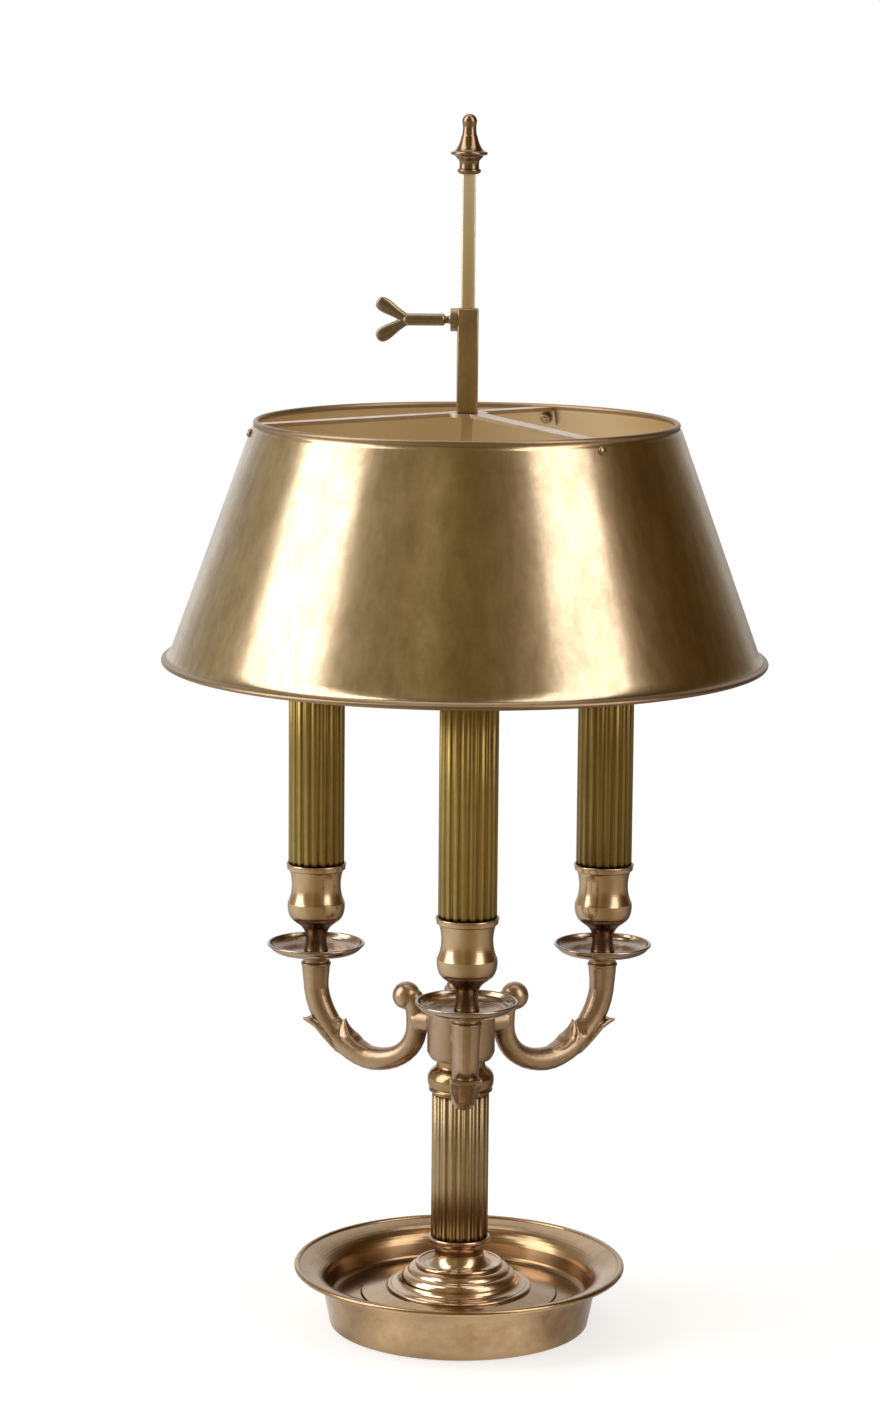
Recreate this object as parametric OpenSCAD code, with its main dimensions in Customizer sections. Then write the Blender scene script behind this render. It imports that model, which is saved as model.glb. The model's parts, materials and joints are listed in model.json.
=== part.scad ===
// Three-light table lamp with a weighted tray base, scroll arms and a metal shade on a square rod.
// The origin is the centre of the base on the table, +Z is up, and one arm points along -Y.

/* [Overall] */
// Height from the table to the top of the finial
lamp_h = 650; // [630:5:720]

/* [Base] */
// Diameter of the brass drum at the table
foot_d = 140; // [132:1:144]
// Diameter of the drum's upper edge
drum_top_d = 149; // [146:1:152]
// Height of the drum
drum_h = 22; // [20:0.5:23]
// Height of the tray's seat inside the drum
seat_h = 12; // [11:0.5:14]
// Gap under the drum's edge, so that the felt carries the lamp
drum_lift = 0.5; // [0.3:0.1:1]
// Outer diameter of the tray rim
tray_d = 179; // [172:1:200]
// Height of the tray rim above its seat
tray_h = 21; // [19:0.5:30]
// Rise of the tray floor from its edge to its middle
tray_crown = 5.5; // [3:0.5:8]
// Diameter of the small step round the tray floor
tray_step_d = 106; // [96:1:120]
// Diameter of the rolled wire edge of the tray
tray_bead = 3.2; // [2.4:0.2:4.4]
// Thickness of the spun sheet of the base
sheet_t = 1.5; // [1:0.1:2]
// Thickness of the felt pad
felt_t = 1.5; // [1:0.25:3]
// Gap between the weight and the drum wall round it
weight_gap = 2; // [1:0.5:4]

/* [Foot and column] */
// Diameter of the lowest step of the turned foot
foot_step_d = 78; // [70:1:88]
// Height of the turned foot
foot_h = 25.9; // [23:0.1:34]
// Diameter of the neck under the column
neck_d = 26.6; // [24:0.2:30]
// Diameter of the thin ring under the column
ring_d = 33.6; // [32:0.2:38]
// Height of the thin ring
ring_h = 3; // [2:0.5:5]
// Diameter over the ridges of the fluted column
column_d = 30.8; // [28:0.2:32]
// Length of the fluted column
column_h = 79.5; // [60:0.5:140]
// Wall left behind the column's flutes
column_wall = 2; // [1.5:0.1:4]
// Diameter of the bead above the column
capital_d = 35.8; // [34:0.2:42]
// Height of the bead and its neck
capital_h = 19.4; // [17:0.2:26]

/* [Flutes] */
// Number of flutes round the column and round each candle tube
flutes = 20; // [12:1:24]
// Depth of a flute
flute_deep = 0.8; // [0.5:0.1:1.2]
// Radius of a hollow of the candle tubes
tube_flute_r = 1.2; // [1.1:0.1:1.9]
// Radius of a hollow of the column
column_flute_r = 1.8; // [1.3:0.1:2.2]

/* [Hub] */
// Diameter of the hub
hub_d = 36.4; // [34:0.2:42]
// Height of the hub
hub_h = 29.6; // [27:0.2:40]
// Wall of the hub
hub_wall = 3; // [2:0.5:5]
// Height of the arms' bosses above the hub's underside
arm_seat_h = 17.6; // [15:0.2:19]
// Height of the cap on the hub
cap_h = 13; // [11:0.5:20]

/* [Arms] */
// Distance from the lamp's axis to each candle's axis
arm_reach = 90.6; // [86:0.2:100]
// Distance from the hub's side to the middle of the arm's upright root
arm_off = 9; // [8:0.2:12]
// Depth of the arm's lowest middle below its boss
arm_dip = 25.2; // [22:0.2:32]
// Height of the arm's top above its boss
arm_rise = 29.5; // [28:0.5:40]
// Diameter of the arm at its root
root_d = 11.6; // [10:0.2:12.4]
// Diameter of the arm at its lowest point
belly_d = 13; // [12:0.2:15]
// Diameter of the upright part where it leaves the leaf
riser_d = 13.6; // [13:0.2:15]
// Diameter of the upright part's flared top, and of the collar over it
collar_d = 16.8; // [16:0.2:19]
// Diameter of the scroll's ball
ball_d = 15.2; // [13:0.2:17]
// Diameter of the boss that meets the hub
boss_d = 13; // [12.4:0.2:15]
// Reach of the outer leaf tip past the candle's axis
spur_out = 4.8; // [3.6:0.2:7]

/* [Candles] */
// Diameter of the drip pan
pan_d = 53.2; // [46:0.2:60]
// Depth of the drip pan
pan_h = 6; // [5:0.5:10]
// Thickness of the pan
pan_t = 1; // [0.8:0.1:1.5]
// Diameter of the candle cup's lip
lip_d = 32.8; // [32.4:0.2:36]
// Diameter of the candle cup's bulge
bulge_d = 31.4; // [29:0.2:34]
// Diameter of the candle cup's waist
waist_d = 26.8; // [25:0.2:29]
// Diameter of the candle cup's foot
cup_foot_d = 13.2; // [13:0.2:17]
// Height of the candle cup
cup_h = 50; // [44:0.5:60]
// Thickness of the candle cup's wall
cup_wall = 1.2; // [0.8:0.1:1.6]
// Depth that the candle tube sits in the cup
tube_seat = 2.5; // [1.5:0.5:3]
// Diameter over the ridges of the fluted candle tube
tube_d = 30.4; // [29.6:0.2:30.6]
// Length of the candle tube
tube_h = 125; // [116:1:128]
// Wall left behind the tube's flutes
tube_wall = 1.1; // [0.9:0.1:1.4]
// Length of the lampholder inside the tube
holder_h = 70; // [60:1:90]
// Diameter of the hollow threaded pipe that carries cup, pan and lampholder
pipe_d = 9.8; // [9:0.1:10]
// Diameter of the wire way through the threaded pipes
wire_d = 7; // [6:0.5:7.5]
// Diameter of the screw socket in the lampholder
socket_d = 13.9; // [13.5:0.1:14.3]
// Diameter of the bulb
bulb_d = 35; // [30:1:38]
// Height of the bulb's glass
bulb_h = 77; // [60:1:80]
// Length of the bulb's screw cap
bulb_cap_h = 24; // [20:1:28]

/* [Rod and finial] */
// Side of the square rod
rod_w = 7; // [6:0.5:8]
// Height of the finial
finial_h = 31; // [28:1:40]
// Diameter of the finial's ball
finial_ball_d = 7.8; // [7:0.2:10]
// Diameter of the finial's disc
finial_disc_d = 19.3; // [17:0.1:24]

/* [Shade] */
// Height of the shade's lower edge above the table
shade_z = 363; // [355:1:400]
// Height of the shade
shade_h = 128; // [115:1:140]
// Outer diameter of the shade's lower edge
shade_low_d = 321; // [300:1:350]
// Outer diameter of the shade's upper edge
shade_top_d = 224; // [210:1:240]
// Thickness of the shade
shade_t = 1; // [0.8:0.1:1.5]
// How far the shade's lower lip flares past the cone
lip_flare = 2.2; // [1:0.2:4]
// Height of the flared lip
lip_h = 9; // [6:1:14]
// Diameter of the rolled wire at the shade's edges
shade_bead = 2.6; // [2.2:0.1:3.6]
// Width of the spider's strips
strip_w = 10; // [8:0.5:14]
// Thickness of the spider's strips
strip_t = 2; // [1.5:0.1:3]
// Rise of the strips from the shade's wall to the sleeve
strip_rise = 5.5; // [0:0.5:10]
// Height of the tabs bent down at the strips' ends
tab_h = 10; // [9:0.5:16]
// Diameter of the screws through the tabs
tab_screw_d = 3; // [2:0.5:4]
// Turn of the spider about the rod
spider_turn = 5; // [0:1:20]

/* [Clamp] */
// Side of the square sleeve on the rod
sleeve_w = 11; // [11:0.2:13]
// Length of the sleeve
sleeve_h = 54.5; // [40:0.5:75]
// Diameter of the screw boss on the sleeve
screw_boss_d = 12; // [10:0.5:12]
// Thickness of the screw boss
screw_boss_t = 3.6; // [3:0.2:5]
// Diameter of the clamp screw's thread
screw_d = 4.8; // [4:0.2:5.4]
// Diameter of the clamp screw's handle
shank_d = 6.4; // [5.8:0.1:7]
// Length of the clamp screw's handle
shank_h = 19.5; // [15:0.5:28]
// Length of a wing, along the screw
wing_x = 13.5; // [10:0.5:16]
// Distance of a wing's tip from the screw's axis
wing_z = 8.4; // [7.5:0.1:11]
// Width of a wing's tip
wing_d = 5.4; // [5:0.2:7]
// Thickness of the wings
wing_t = 3.6; // [2.6:0.2:4.4]

/* [Cord outlet] */
// Diameter of the cord's hole through the bush
cord_d = 6.4; // [5.6:0.1:6.6]
// Wall of the bush
bush_wall = 1; // [0.8:0.1:1.2]
// How far the bush stands out of the drum
bush_out = 3; // [2:0.5:6]

/* [Hidden] */
// Clearances
gap = 0.1;
seat = 0.3;
slide_gap = 0.15;
run_gap = 0.05;

// Heights of the central stack, from the table up
drum_top_z = drum_lift + drum_h;
seat_z = drum_lift + seat_h;
foot_z = seat_z + tray_crown + sheet_t;
ring_z = foot_z + foot_h;
column_z = ring_z + ring_h;
capital_z = column_z + column_h;
hub_z = capital_z + capital_h;
hub_top_z = hub_z + hub_h;
boss_z = hub_z + arm_seat_h;
finial_z = lamp_h - finial_h;

// Heights of a candle, from its arm up
pan_z = boss_z + arm_rise;
cup_z = pan_z + pan_t;
tube_z = cup_z + cup_h - tube_seat;
tube_top_z = tube_z + tube_h;
holder_top_z = tube_top_z - 2;
holder_z = holder_top_z - holder_h;

// Heights of the shade
shade_top_z = shade_z + shade_h;
strip_end_z = shade_top_z - 1.5;
tab_screw_z = strip_end_z - tab_h / 2;
spider_z = strip_end_z + strip_rise;
sleeve_top_z = spider_z + sleeve_h;
screw_z = sleeve_top_z - screw_boss_d / 2;
screw_x = sleeve_w / 2 + screw_boss_t;

// Parts of the base
drum_r = drum_top_d / 2;
foot_r = foot_d / 2;
floor_r = foot_r - 4;
weight_r = foot_r - sheet_t - weight_gap;
weight_top_z = seat_z - sheet_t;
crown_r = foot_step_d / 2;
nut_w = 17;
nut_h = 5;
washer_d = 26;
washer_t = 2;
nut_room = nut_h + washer_t + 2;
channel_w = cord_d + 2 * bush_wall + 1.6;
cord_z = drum_lift + seat_h / 2 - 0.4;
tie_d = pipe_d;
tie_hole = tie_d + 2 * gap;

// Parts of the candles
pipe_hole = pipe_d + 2 * gap;
tube_bore = tube_d - 2 * (flute_deep + tube_wall);
holder_d = tube_bore - 2 * seat;
cup_floor = cup_h - 30.5;
cup_nut_w = 14;
cup_nut_h = 3;
arm_turns = [150, 30, -90];

// Parts of the hub
hub_r = hub_d / 2;
hub_bore_r = hub_r - hub_wall;
hub_floor = 5;
root_x = hub_r + arm_off;
spigot_d = 8.8;
arm_nut_w = 12;
arm_nut_h = 3;
arm_nut_x = sqrt(pow(hub_bore_r, 2) - pow(arm_nut_w / sqrt(3), 2)) - gap;

// The shade's cone, inside the flare of its lower lip and under its upper wire
cone_low_r = shade_low_d / 2 - lip_flare - shade_bead / 4;
cone_top_r = shade_top_d / 2 - shade_bead / 4;
cone_slope = (cone_low_r - cone_top_r) / shade_h;
cone_lean = atan(cone_slope);
rod_r = rod_w / 2;

round_n = 96;

// Colours
brass = "#a98c5f";
dark_brass = "#71603d";
bronze = "#9c7a5c";
steel = "#8d8a80";

// Points on an arc round c, from angle a to angle b
function arc(c, r, a, b, n = 8) =
    [for (i = [0:n]) c + r * [cos(a + (b - a) * i / n), sin(a + (b - a) * i / n)]];

// Points on a curve from p to q that is pulled towards c
function bend(p, c, q, n = 6) =
    [for (i = [0:n]) let (t = i / n) (1 - t) * (1 - t) * p + 2 * t * (1 - t) * c + t * t * q];

// Points on a curve from p to q that leaves towards a and arrives from b, without its last point
function curve(p, a, b, q, n) =
    [for (i = [0:n - 1]) let (t = i / n, u = 1 - t)
        u * u * u * p + 3 * u * u * t * a + 3 * u * t * t * b + t * t * t * q];

// The direction along a path at its point i, and the direction to its left
function along(path, i) =
    let (d = path[min(i + 1, len(path) - 1)] - path[max(i - 1, 0)]) d / norm(d);
function left_of(path, i) = let (d = along(path, i)) [-d.y, d.x];

// Outline of a sheet of thickness t on the left of a path
function sheet(path, t) =
    concat(path, [for (i = [len(path) - 1:-1:0]) path[i] + t * left_of(path, i)]);

// A solid of revolution
module turned(outline) rotate_extrude($fn = round_n) polygon(outline);

module hole(d, z, h) translate([0, 0, z - 1]) cylinder(h = h + 2, d = d, $fn = round_n);

module pipe(d, bore, z, h) {
    difference() {
        translate([0, 0, z]) cylinder(h = h, d = d, $fn = round_n);
        hole(bore, z, h);
    }
}

// A fluted tube, with a flute of radius r facing along the angle turn
module fluted_tube(d, bore, z, h, r, turn) {
    translate([0, 0, z]) linear_extrude(h) difference() {
        circle(d = d, $fn = round_n);
        for (i = [0:flutes - 1])
            rotate(turn + i * 360 / flutes)
                translate([d / 2 + r - flute_deep, 0])
                    circle(r = r, $fn = 32);
        circle(d = bore, $fn = round_n);
    }
}

module hex_nut(w, h, bore) {
    difference() {
        cylinder(h = h, d = w * 2 / sqrt(3), $fn = 6);
        hole(bore, 0, h);
    }
}

// The n-th candle's place, with +X along its arm
module at_arm(n) rotate(arm_turns[n]) children();
module at_candle(n) at_arm(n) translate([arm_reach, 0, 0]) children();

// Base

module felt_pad() {
    color("#2c3a2c") cylinder(h = felt_t, r = foot_r - sheet_t - 1, $fn = round_n);
}

module base_weight() {
    boss_r = crown_r - 2;
    color("#3c3c3e") difference() {
        turned([
            [0, felt_t], [weight_r, felt_t], [weight_r, weight_top_z], [boss_r + 6, weight_top_z],
            [boss_r, foot_z - sheet_t], [0, foot_z - sheet_t]
        ]);
        hole(tie_hole, 0, foot_z);
        translate([0, 0, felt_t - 1]) cylinder(h = nut_room + 1, d = washer_d + 2, $fn = round_n);
        translate([-channel_w / 2, 0, felt_t - 1])
            cube([channel_w, foot_r, cord_z + channel_w / 2 - felt_t + 1]);
    }
}

// Outer radius of the drum at a height
function drum_side_r(z) = foot_r + (drum_r - foot_r) * (z - drum_lift) / drum_h;

module base_drum() {
    edge_z = drum_lift + 0.8;
    outline = concat(
        [[foot_r - 1, drum_lift]],
        bend([foot_r - 0.4, drum_lift], [foot_r, drum_lift], [drum_side_r(edge_z), edge_z], 4),
        [[drum_r, drum_top_z], [drum_r - sheet_t, drum_top_z], [drum_side_r(edge_z) - sheet_t, edge_z]]
    );
    color(brass) difference() {
        union() {
            turned(outline);
            pipe(2 * drum_side_r(weight_top_z) - sheet_t, 2 * (weight_r - 6), weight_top_z, sheet_t);
        }
        translate([0, 0, cord_z]) rotate([-90, 0, 0])
            cylinder(h = tray_d, d = cord_d + 2 * bush_wall + 2 * gap, $fn = round_n);
    }
}

module base_tray() {
    rim_r = (tray_d - tray_bead) / 2;
    rim_z = seat_z + tray_h - tray_bead / 2;
    edge = 0.7;
    fit = sheet_t + gap;
    wall_low_r = drum_side_r(seat_z) - fit;
    inner_r = drum_r - fit - sheet_t;
    step_r = tray_step_d / 2;
    step_z = seat_z + tray_crown * (floor_r - step_r) / (floor_r - crown_r - 1);
    floor_line = [
        [floor_r, seat_z], [step_r + 0.4, step_z - 0.7], [step_r - 0.4, step_z + 0.3],
        [crown_r + 1, seat_z + tray_crown], [tie_hole / 2, seat_z + tray_crown]
    ];
    // The wall stands inside the drum, lies over its edge and flares out to the rim
    under = concat(
        [[wall_low_r, seat_z], [drum_r - fit, drum_top_z]],
        bend([drum_r, drum_top_z], [drum_r + 1.6, rim_z - 2], [rim_r, rim_z - edge], 10)
    );
    upper = concat(
        bend([rim_r, rim_z + edge], [inner_r + 2.2, rim_z - 0.6], [inner_r, drum_top_z], 10),
        bend([wall_low_r - sheet_t + 0.6, seat_z + 3.6],
            [wall_low_r - sheet_t, seat_z + sheet_t], [floor_r + 0.2, seat_z + sheet_t], 4)
    );
    color(brass) {
        turned(concat(under, upper, [for (p = floor_line) if (p.x < floor_r) p + [0, sheet_t]],
            [for (i = [len(floor_line) - 1:-1:0]) floor_line[i]]));
        rotate_extrude($fn = round_n) translate([rim_r, rim_z]) circle(d = tray_bead, $fn = 32);
    }
}

module cord_bush() {
    bush_d = cord_d + 2 * bush_wall;
    flange_d = bush_d + 2;
    wall_y = drum_side_r(cord_z + flange_d / 2) + gap;
    out_y = wall_y + bush_out;
    back_y = weight_r + 0.5;
    color("#22201e") difference() {
        union() {
            translate([0, back_y, cord_z]) rotate([-90, 0, 0])
                cylinder(h = out_y - back_y, d = bush_d, $fn = round_n);
            translate([0, wall_y, cord_z]) rotate([-90, 0, 0])
                cylinder(h = 1.4, d = flange_d, $fn = round_n);
        }
        translate([0, back_y - 1, cord_z]) rotate([-90, 0, 0])
            cylinder(h = out_y, d = cord_d, $fn = round_n);
    }
}

module tie_rod() {
    foot = felt_t + nut_room - washer_t - nut_h - 1;
    color(steel) pipe(tie_d, wire_d, foot, hub_z + hub_floor + nut_h + 1 - foot);
}

module tie_washer() {
    color(steel) pipe(washer_d, tie_hole, felt_t + nut_room - washer_t, washer_t);
}

module tie_nuts() {
    color(steel) for (z = [felt_t + nut_room - washer_t - nut_h, hub_z + hub_floor])
        translate([0, 0, z]) hex_nut(nut_w, nut_h, tie_hole);
}

// Foot and column

module turned_foot() {
    step_r = foot_step_d / 2;
    neck_r = neck_d / 2;
    // The steps keep their heights, and a taller foot gets a longer neck
    outline = concat(
        [[tie_hole / 2, 0], [step_r, 0]],
        arc([step_r - 0.9, 0.9], 0.9, -30, 90, 5),
        [[step_r - 2.4, 1.8]],
        bend([step_r - 2.6, 2], [step_r - 6.6, 2.2], [step_r - 7.3, 4.4], 5),
        bend([step_r - 7.5, 4.8], [step_r - 8, 8.4], [step_r - 10.8, 9.3], 6),
        bend([step_r - 11.2, 9.6], [step_r - 12, 12], [step_r - 15.3, 12.4], 6),
        arc([step_r - 16.6, 13.4], 1.3, -20, 150, 6),
        [[neck_r + 4.8, 13]],
        bend([neck_r + 3.8, 13.2], [neck_r + 0.2, 15.6], [neck_r, 19.6], 7),
        bend([neck_r, foot_h - 5.4], [neck_r, foot_h - 2.4], [neck_r + 1.6, foot_h], 6),
        [[tie_hole / 2, foot_h]]
    );
    color(brass) translate([0, 0, foot_z]) turned(outline);
}

module column_ring() {
    r = ring_d / 2;
    color(brass) translate([0, 0, ring_z]) turned(concat(
        [[tie_hole / 2, 0]], arc([r - 1, 1], 1, -90, 0, 4), arc([r - 1, ring_h - 1], 1, 0, 90, 4),
        [[tie_hole / 2, ring_h]]
    ));
}

module column() {
    bore = column_d - 2 * (flute_deep + column_wall);
    // A ridge faces the front
    color(brass) fluted_tube(column_d, bore, column_z, column_h, column_flute_r, -90 + 180 / flutes);
}

module capital() {
    r = capital_d / 2;
    column_r = column_d / 2;
    neck_r = r - 4.9;
    outline = concat(
        [[tie_hole / 2, 0], [column_r - 0.4, 0]],
        bend([column_r + 0.3, 0.4], [column_r + 0.4, 1.4], [r - 1.4, 1.5], 4),
        arc([r - 1.4, 2.3], 0.8, -90, 60, 5),
        bend([r - 1.4, 3.5], [r - 0.4, 3.8], [r - 0.1, 6.2], 4),
        bend([r, 7.2], [r + 0.3, 11.4], [r - 3.4, 13.9], 8),
        bend([neck_r + 0.4, 14.8], [neck_r - 0.2, 17], [neck_r + 0.2, capital_h], 5),
        [[tie_hole / 2, capital_h]]
    );
    color(brass) translate([0, 0, capital_z]) turned(outline);
}

// Hub

module hub() {
    edge = [[hub_r - 2, 0], [hub_r - 0.9, 1.6], [hub_r, 3.6]];
    color(brass) translate([0, 0, hub_z]) difference() {
        turned(concat(
            [[tie_hole / 2, 0]], edge,
            [[hub_r, hub_h], [hub_bore_r, hub_h], [hub_bore_r, hub_floor], [tie_hole / 2, hub_floor]]
        ));
        for (n = [0:2])
            at_arm(n) translate([0, 0, arm_seat_h]) rotate([0, 90, 0])
                cylinder(h = hub_d, d = spigot_d + 2 * gap, $fn = 48);
    }
}

module hub_cap() {
    socket_r = rod_w / sqrt(2) + 3;
    color(brass) translate([0, 0, hub_top_z]) difference() {
        turned(concat(
            [[0, -3], [hub_bore_r - gap, -3], [hub_bore_r - gap, 0]],
            [[hub_r, 0]], arc([hub_r - 1.2, 1.4], 1.2, 0, 90, 4),
            bend([hub_r - 3, 2.8], [socket_r + 1.5, 3], [socket_r + 0.6, 7], 6),
            [[socket_r + 1.2, 8], [socket_r + 1.2, 9.5]],
            bend([socket_r, 9.8], [socket_r, cap_h], [socket_r - 1.6, cap_h], 4),
            [[0, cap_h]]
        ));
        translate([-rod_r - gap, -rod_r - gap, 0]) cube([rod_w + 2 * gap, rod_w + 2 * gap, cap_h + 1]);
    }
}

module arm_nuts() {
    color(steel) for (n = [0:2])
        at_arm(n) translate([arm_nut_x - arm_nut_h, 0, boss_z]) rotate([0, 90, 0])
            hex_nut(arm_nut_w, arm_nut_h, spigot_d + 2 * gap);
}

// Arms

// A closed solid through rings of points
module loft(rings) {
    n = len(rings[0]);
    last = (len(rings) - 1) * n;
    polyhedron(
        points = [for (ring = rings) each ring],
        faces = concat(
            [[for (j = [n - 1:-1:0]) j], [for (j = [0:n - 1]) last + j]],
            [for (i = [0:len(rings) - 2], j = [0:n - 1]) let (k = (j + 1) % n, a = i * n) each
                [[a + j, a + n + k, a + n + j], [a + j, a + k, a + n + k]]]
        )
    );
}

// The rings of a bar along a path in the XZ plane; half[i] holds its half thickness and half width
// there, and power is 2 for an ellipse and more for a squarer section
function bar(path, half, power, sides) =
    [for (i = [0:len(path) - 1]) let (s = left_of(path, i)) [
        for (j = [0:sides - 1]) let (
            a = j * 360 / sides,
            c = sign(cos(a)) * pow(abs(cos(a)), 2 / power) * half[i][0],
            w = sign(sin(a)) * pow(abs(sin(a)), 2 / power) * half[i][1]
        ) [path[i].x + c * s.x, w, path[i].y + c * s.y]
    ]];

// The middle of the arm, from the scroll's ball round to the collar, with its boss at height 0
span = arm_reach - root_x;
ball_x = root_x + 6.6;
ball_y = 12.5;
bottom_x = root_x + 0.42 * span;
elbow_y = 15;
flare_y = arm_rise - 5.5;
arm_path = concat(
    curve([ball_x, ball_y], [root_x + 1.2, ball_y + 1.5], [root_x, 7], [root_x, -3], 6),
    curve([root_x, -3], [root_x, -arm_dip + 9], [bottom_x - 15, -arm_dip], [bottom_x, -arm_dip], 10),
    curve([bottom_x, -arm_dip], [bottom_x + 0.28 * span, -arm_dip],
        [arm_reach + 0.6, -elbow_y / 3], [arm_reach, elbow_y], 12),
    [[arm_reach, elbow_y], [arm_reach, (elbow_y + flare_y) / 2], [arm_reach, flare_y - 0.5]]
);
arm_sizes = [
    [0, root_d], [12, root_d], [16, belly_d], [20, belly_d], [22, riser_d], [27, riser_d],
    [28, riser_d + 0.5], [29, riser_d + 1.4], [30, collar_d - 1.4]
];

module arm() {
    rim_r = collar_d / 2;
    groove_r = rim_r - 1.1;
    // The shield of the outer leaf widens up to a ledge, and the inner leaf stands against the riser
    outer = [
        [arm_reach - 18, 1 - arm_dip], [arm_reach - 13.2, 5.4 - arm_dip], [arm_reach - 8.7, 10.4 - arm_dip],
        [arm_reach - 4.1, 14.9 - arm_dip], [arm_reach + spur_out - 4, 17.1 - arm_dip],
        [arm_reach + spur_out - 0.3, 18 - arm_dip]
    ];
    outer_half = [[1.5, 3], [2.4, 5.2], [3, 6.6], [3, 7.6], [1.9, 8.1], [0.7, 8.2]];
    inner = [
        [bottom_x + 2.2, 3.7 - arm_dip], [bottom_x + 9.9, 6.3 - arm_dip], [bottom_x + 15, 10 - arm_dip],
        [bottom_x + 17.6, 14.6 - arm_dip], [bottom_x + 18.9, 19.5 - arm_dip]
    ];
    inner_half = [[2.2, 4.6], [3, 6], [3.8, 6.2], [3.9, 5.2], [3.4, 4]];
    half = [for (i = [0:len(arm_path) - 1]) let (r = lookup(i, arm_sizes) / 2) [r, r]];
    color(bronze) translate([0, 0, boss_z]) difference() {
        union() {
            loft(bar(arm_path, half, 2, 20));
            loft(bar(outer, outer_half, 3.6, 16));
            loft(bar(inner, inner_half, 2.5, 12));
            translate([ball_x, 0, ball_y]) sphere(d = ball_d, $fn = 48);
            difference() {
                rotate([0, 90, 0]) cylinder(h = root_x, d = boss_d, $fn = 48);
                translate([0, 0, -boss_d]) cylinder(h = 2 * boss_d, d = hub_d, $fn = round_n);
            }
            translate([arm_nut_x - arm_nut_h - 1, 0, 0]) rotate([0, 90, 0])
                cylinder(h = root_x - arm_nut_x, d = spigot_d, $fn = 48);
            translate([arm_reach, 0, arm_rise]) turned(concat(
                [[0, -7.5], [rim_r - 0.9, -7.5], [rim_r, -5.6]],
                bend([rim_r - 0.4, -5.1], [groove_r, -4.8], [groove_r, -4], 4),
                bend([groove_r, -3.6], [groove_r, -2.8], [rim_r - 0.3, -2.3], 4),
                [[rim_r, -1.8], [rim_r, -0.5], [rim_r - 0.5, 0], [0, 0]]
            ));
        }
        translate([arm_reach, 0, arm_rise - 12]) cylinder(h = 13, d = pipe_hole, $fn = 48);
    }
}

module arm_at(n) at_arm(n) arm();
module arm_left() arm_at(0);
module arm_right() arm_at(1);
module arm_front() arm_at(2);

// Candles

module drip_pan(n) {
    rim_r = pan_d / 2;
    path = concat(
        [[pipe_hole / 2, 0], [rim_r - 13, 0]],
        bend([rim_r - 11, 0], [rim_r - 1.8, 0.3], [rim_r - 0.6, pan_h - 0.6], 8)
    );
    color(bronze) at_candle(n) translate([0, 0, pan_z]) {
        turned(sheet(path, pan_t));
        rotate_extrude($fn = round_n) translate([rim_r - 0.8, pan_h - 0.7]) circle(d = 1.6, $fn = 24);
    }
}
module drip_pan_left() drip_pan(0);
module drip_pan_right() drip_pan(1);
module drip_pan_front() drip_pan(2);

module candle_cup(n) {
    foot_r = cup_foot_d / 2;
    neck_r = pipe_hole / 2 + 0.8;
    bulge_r = bulge_d / 2;
    waist_r = waist_d / 2;
    lip_r = lip_d / 2;
    bulge_y = cup_h - 24.5;
    waist_y = cup_h - 13;
    seat_y = cup_h - tube_seat;
    inner_r = tube_d / 2 + gap;
    outer = concat(
        [[pipe_hole / 2, 0], [foot_r, 0]],
        bend([foot_r, 0.8], [neck_r - 0.1, 3.4], [neck_r, 8], 5),
        bend([neck_r + 0.1, 9.2], [neck_r + 0.6, 13.6], [bulge_r - 4.6, bulge_y - 9.2], 6),
        bend([bulge_r - 3.6, bulge_y - 8.4], [bulge_r - 0.1, bulge_y - 6], [bulge_r, bulge_y], 8),
        bend([bulge_r - 0.1, bulge_y + 2], [waist_r + 0.1, waist_y - 5.5], [waist_r, waist_y], 8),
        bend([waist_r, waist_y + 1.5], [waist_r + 0.4, cup_h - 6.4], [lip_r - 1.4, cup_h - 4.4], 6),
        [[lip_r - 0.5, cup_h - 3.8]],
        arc([lip_r - 0.6, cup_h - 1.2], 0.6, -60, 90, 5)
    );
    inner = concat(
        [[inner_r, cup_h - 0.6], [inner_r, seat_y]],
        [[waist_r - cup_wall, seat_y - 1], [waist_r - cup_wall, waist_y - 1]],
        bend([waist_r - cup_wall, waist_y - 3], [waist_r - cup_wall + 0.1, waist_y - 8],
            [bulge_r - cup_wall - 0.2, bulge_y], 4),
        [[bulge_r - cup_wall - 1.5, bulge_y - 5], [cup_nut_w * 0.6, cup_floor], [pipe_hole / 2, cup_floor]]
    );
    color(dark_brass) at_candle(n) translate([0, 0, cup_z]) turned(concat(outer, inner));
}
module candle_cup_left() candle_cup(0);
module candle_cup_right() candle_cup(1);
module candle_cup_front() candle_cup(2);

module candle_tube(n) {
    color(dark_brass) at_candle(n) fluted_tube(tube_d, tube_bore, tube_z, tube_h, tube_flute_r, 0);
}
module candle_tube_left() candle_tube(0);
module candle_tube_right() candle_tube(1);
module candle_tube_front() candle_tube(2);

module pipe_at(n) {
    foot = pan_z - 10;
    color(steel) at_candle(n) pipe(pipe_d, wire_d, foot, holder_z + 8 - foot);
}
module pipe_left() pipe_at(0);
module pipe_right() pipe_at(1);
module pipe_front() pipe_at(2);

module cup_nuts() {
    color(steel) for (n = [0:2])
        at_candle(n) translate([0, 0, cup_z + cup_floor]) hex_nut(cup_nut_w, cup_nut_h, pipe_hole);
}

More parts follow.
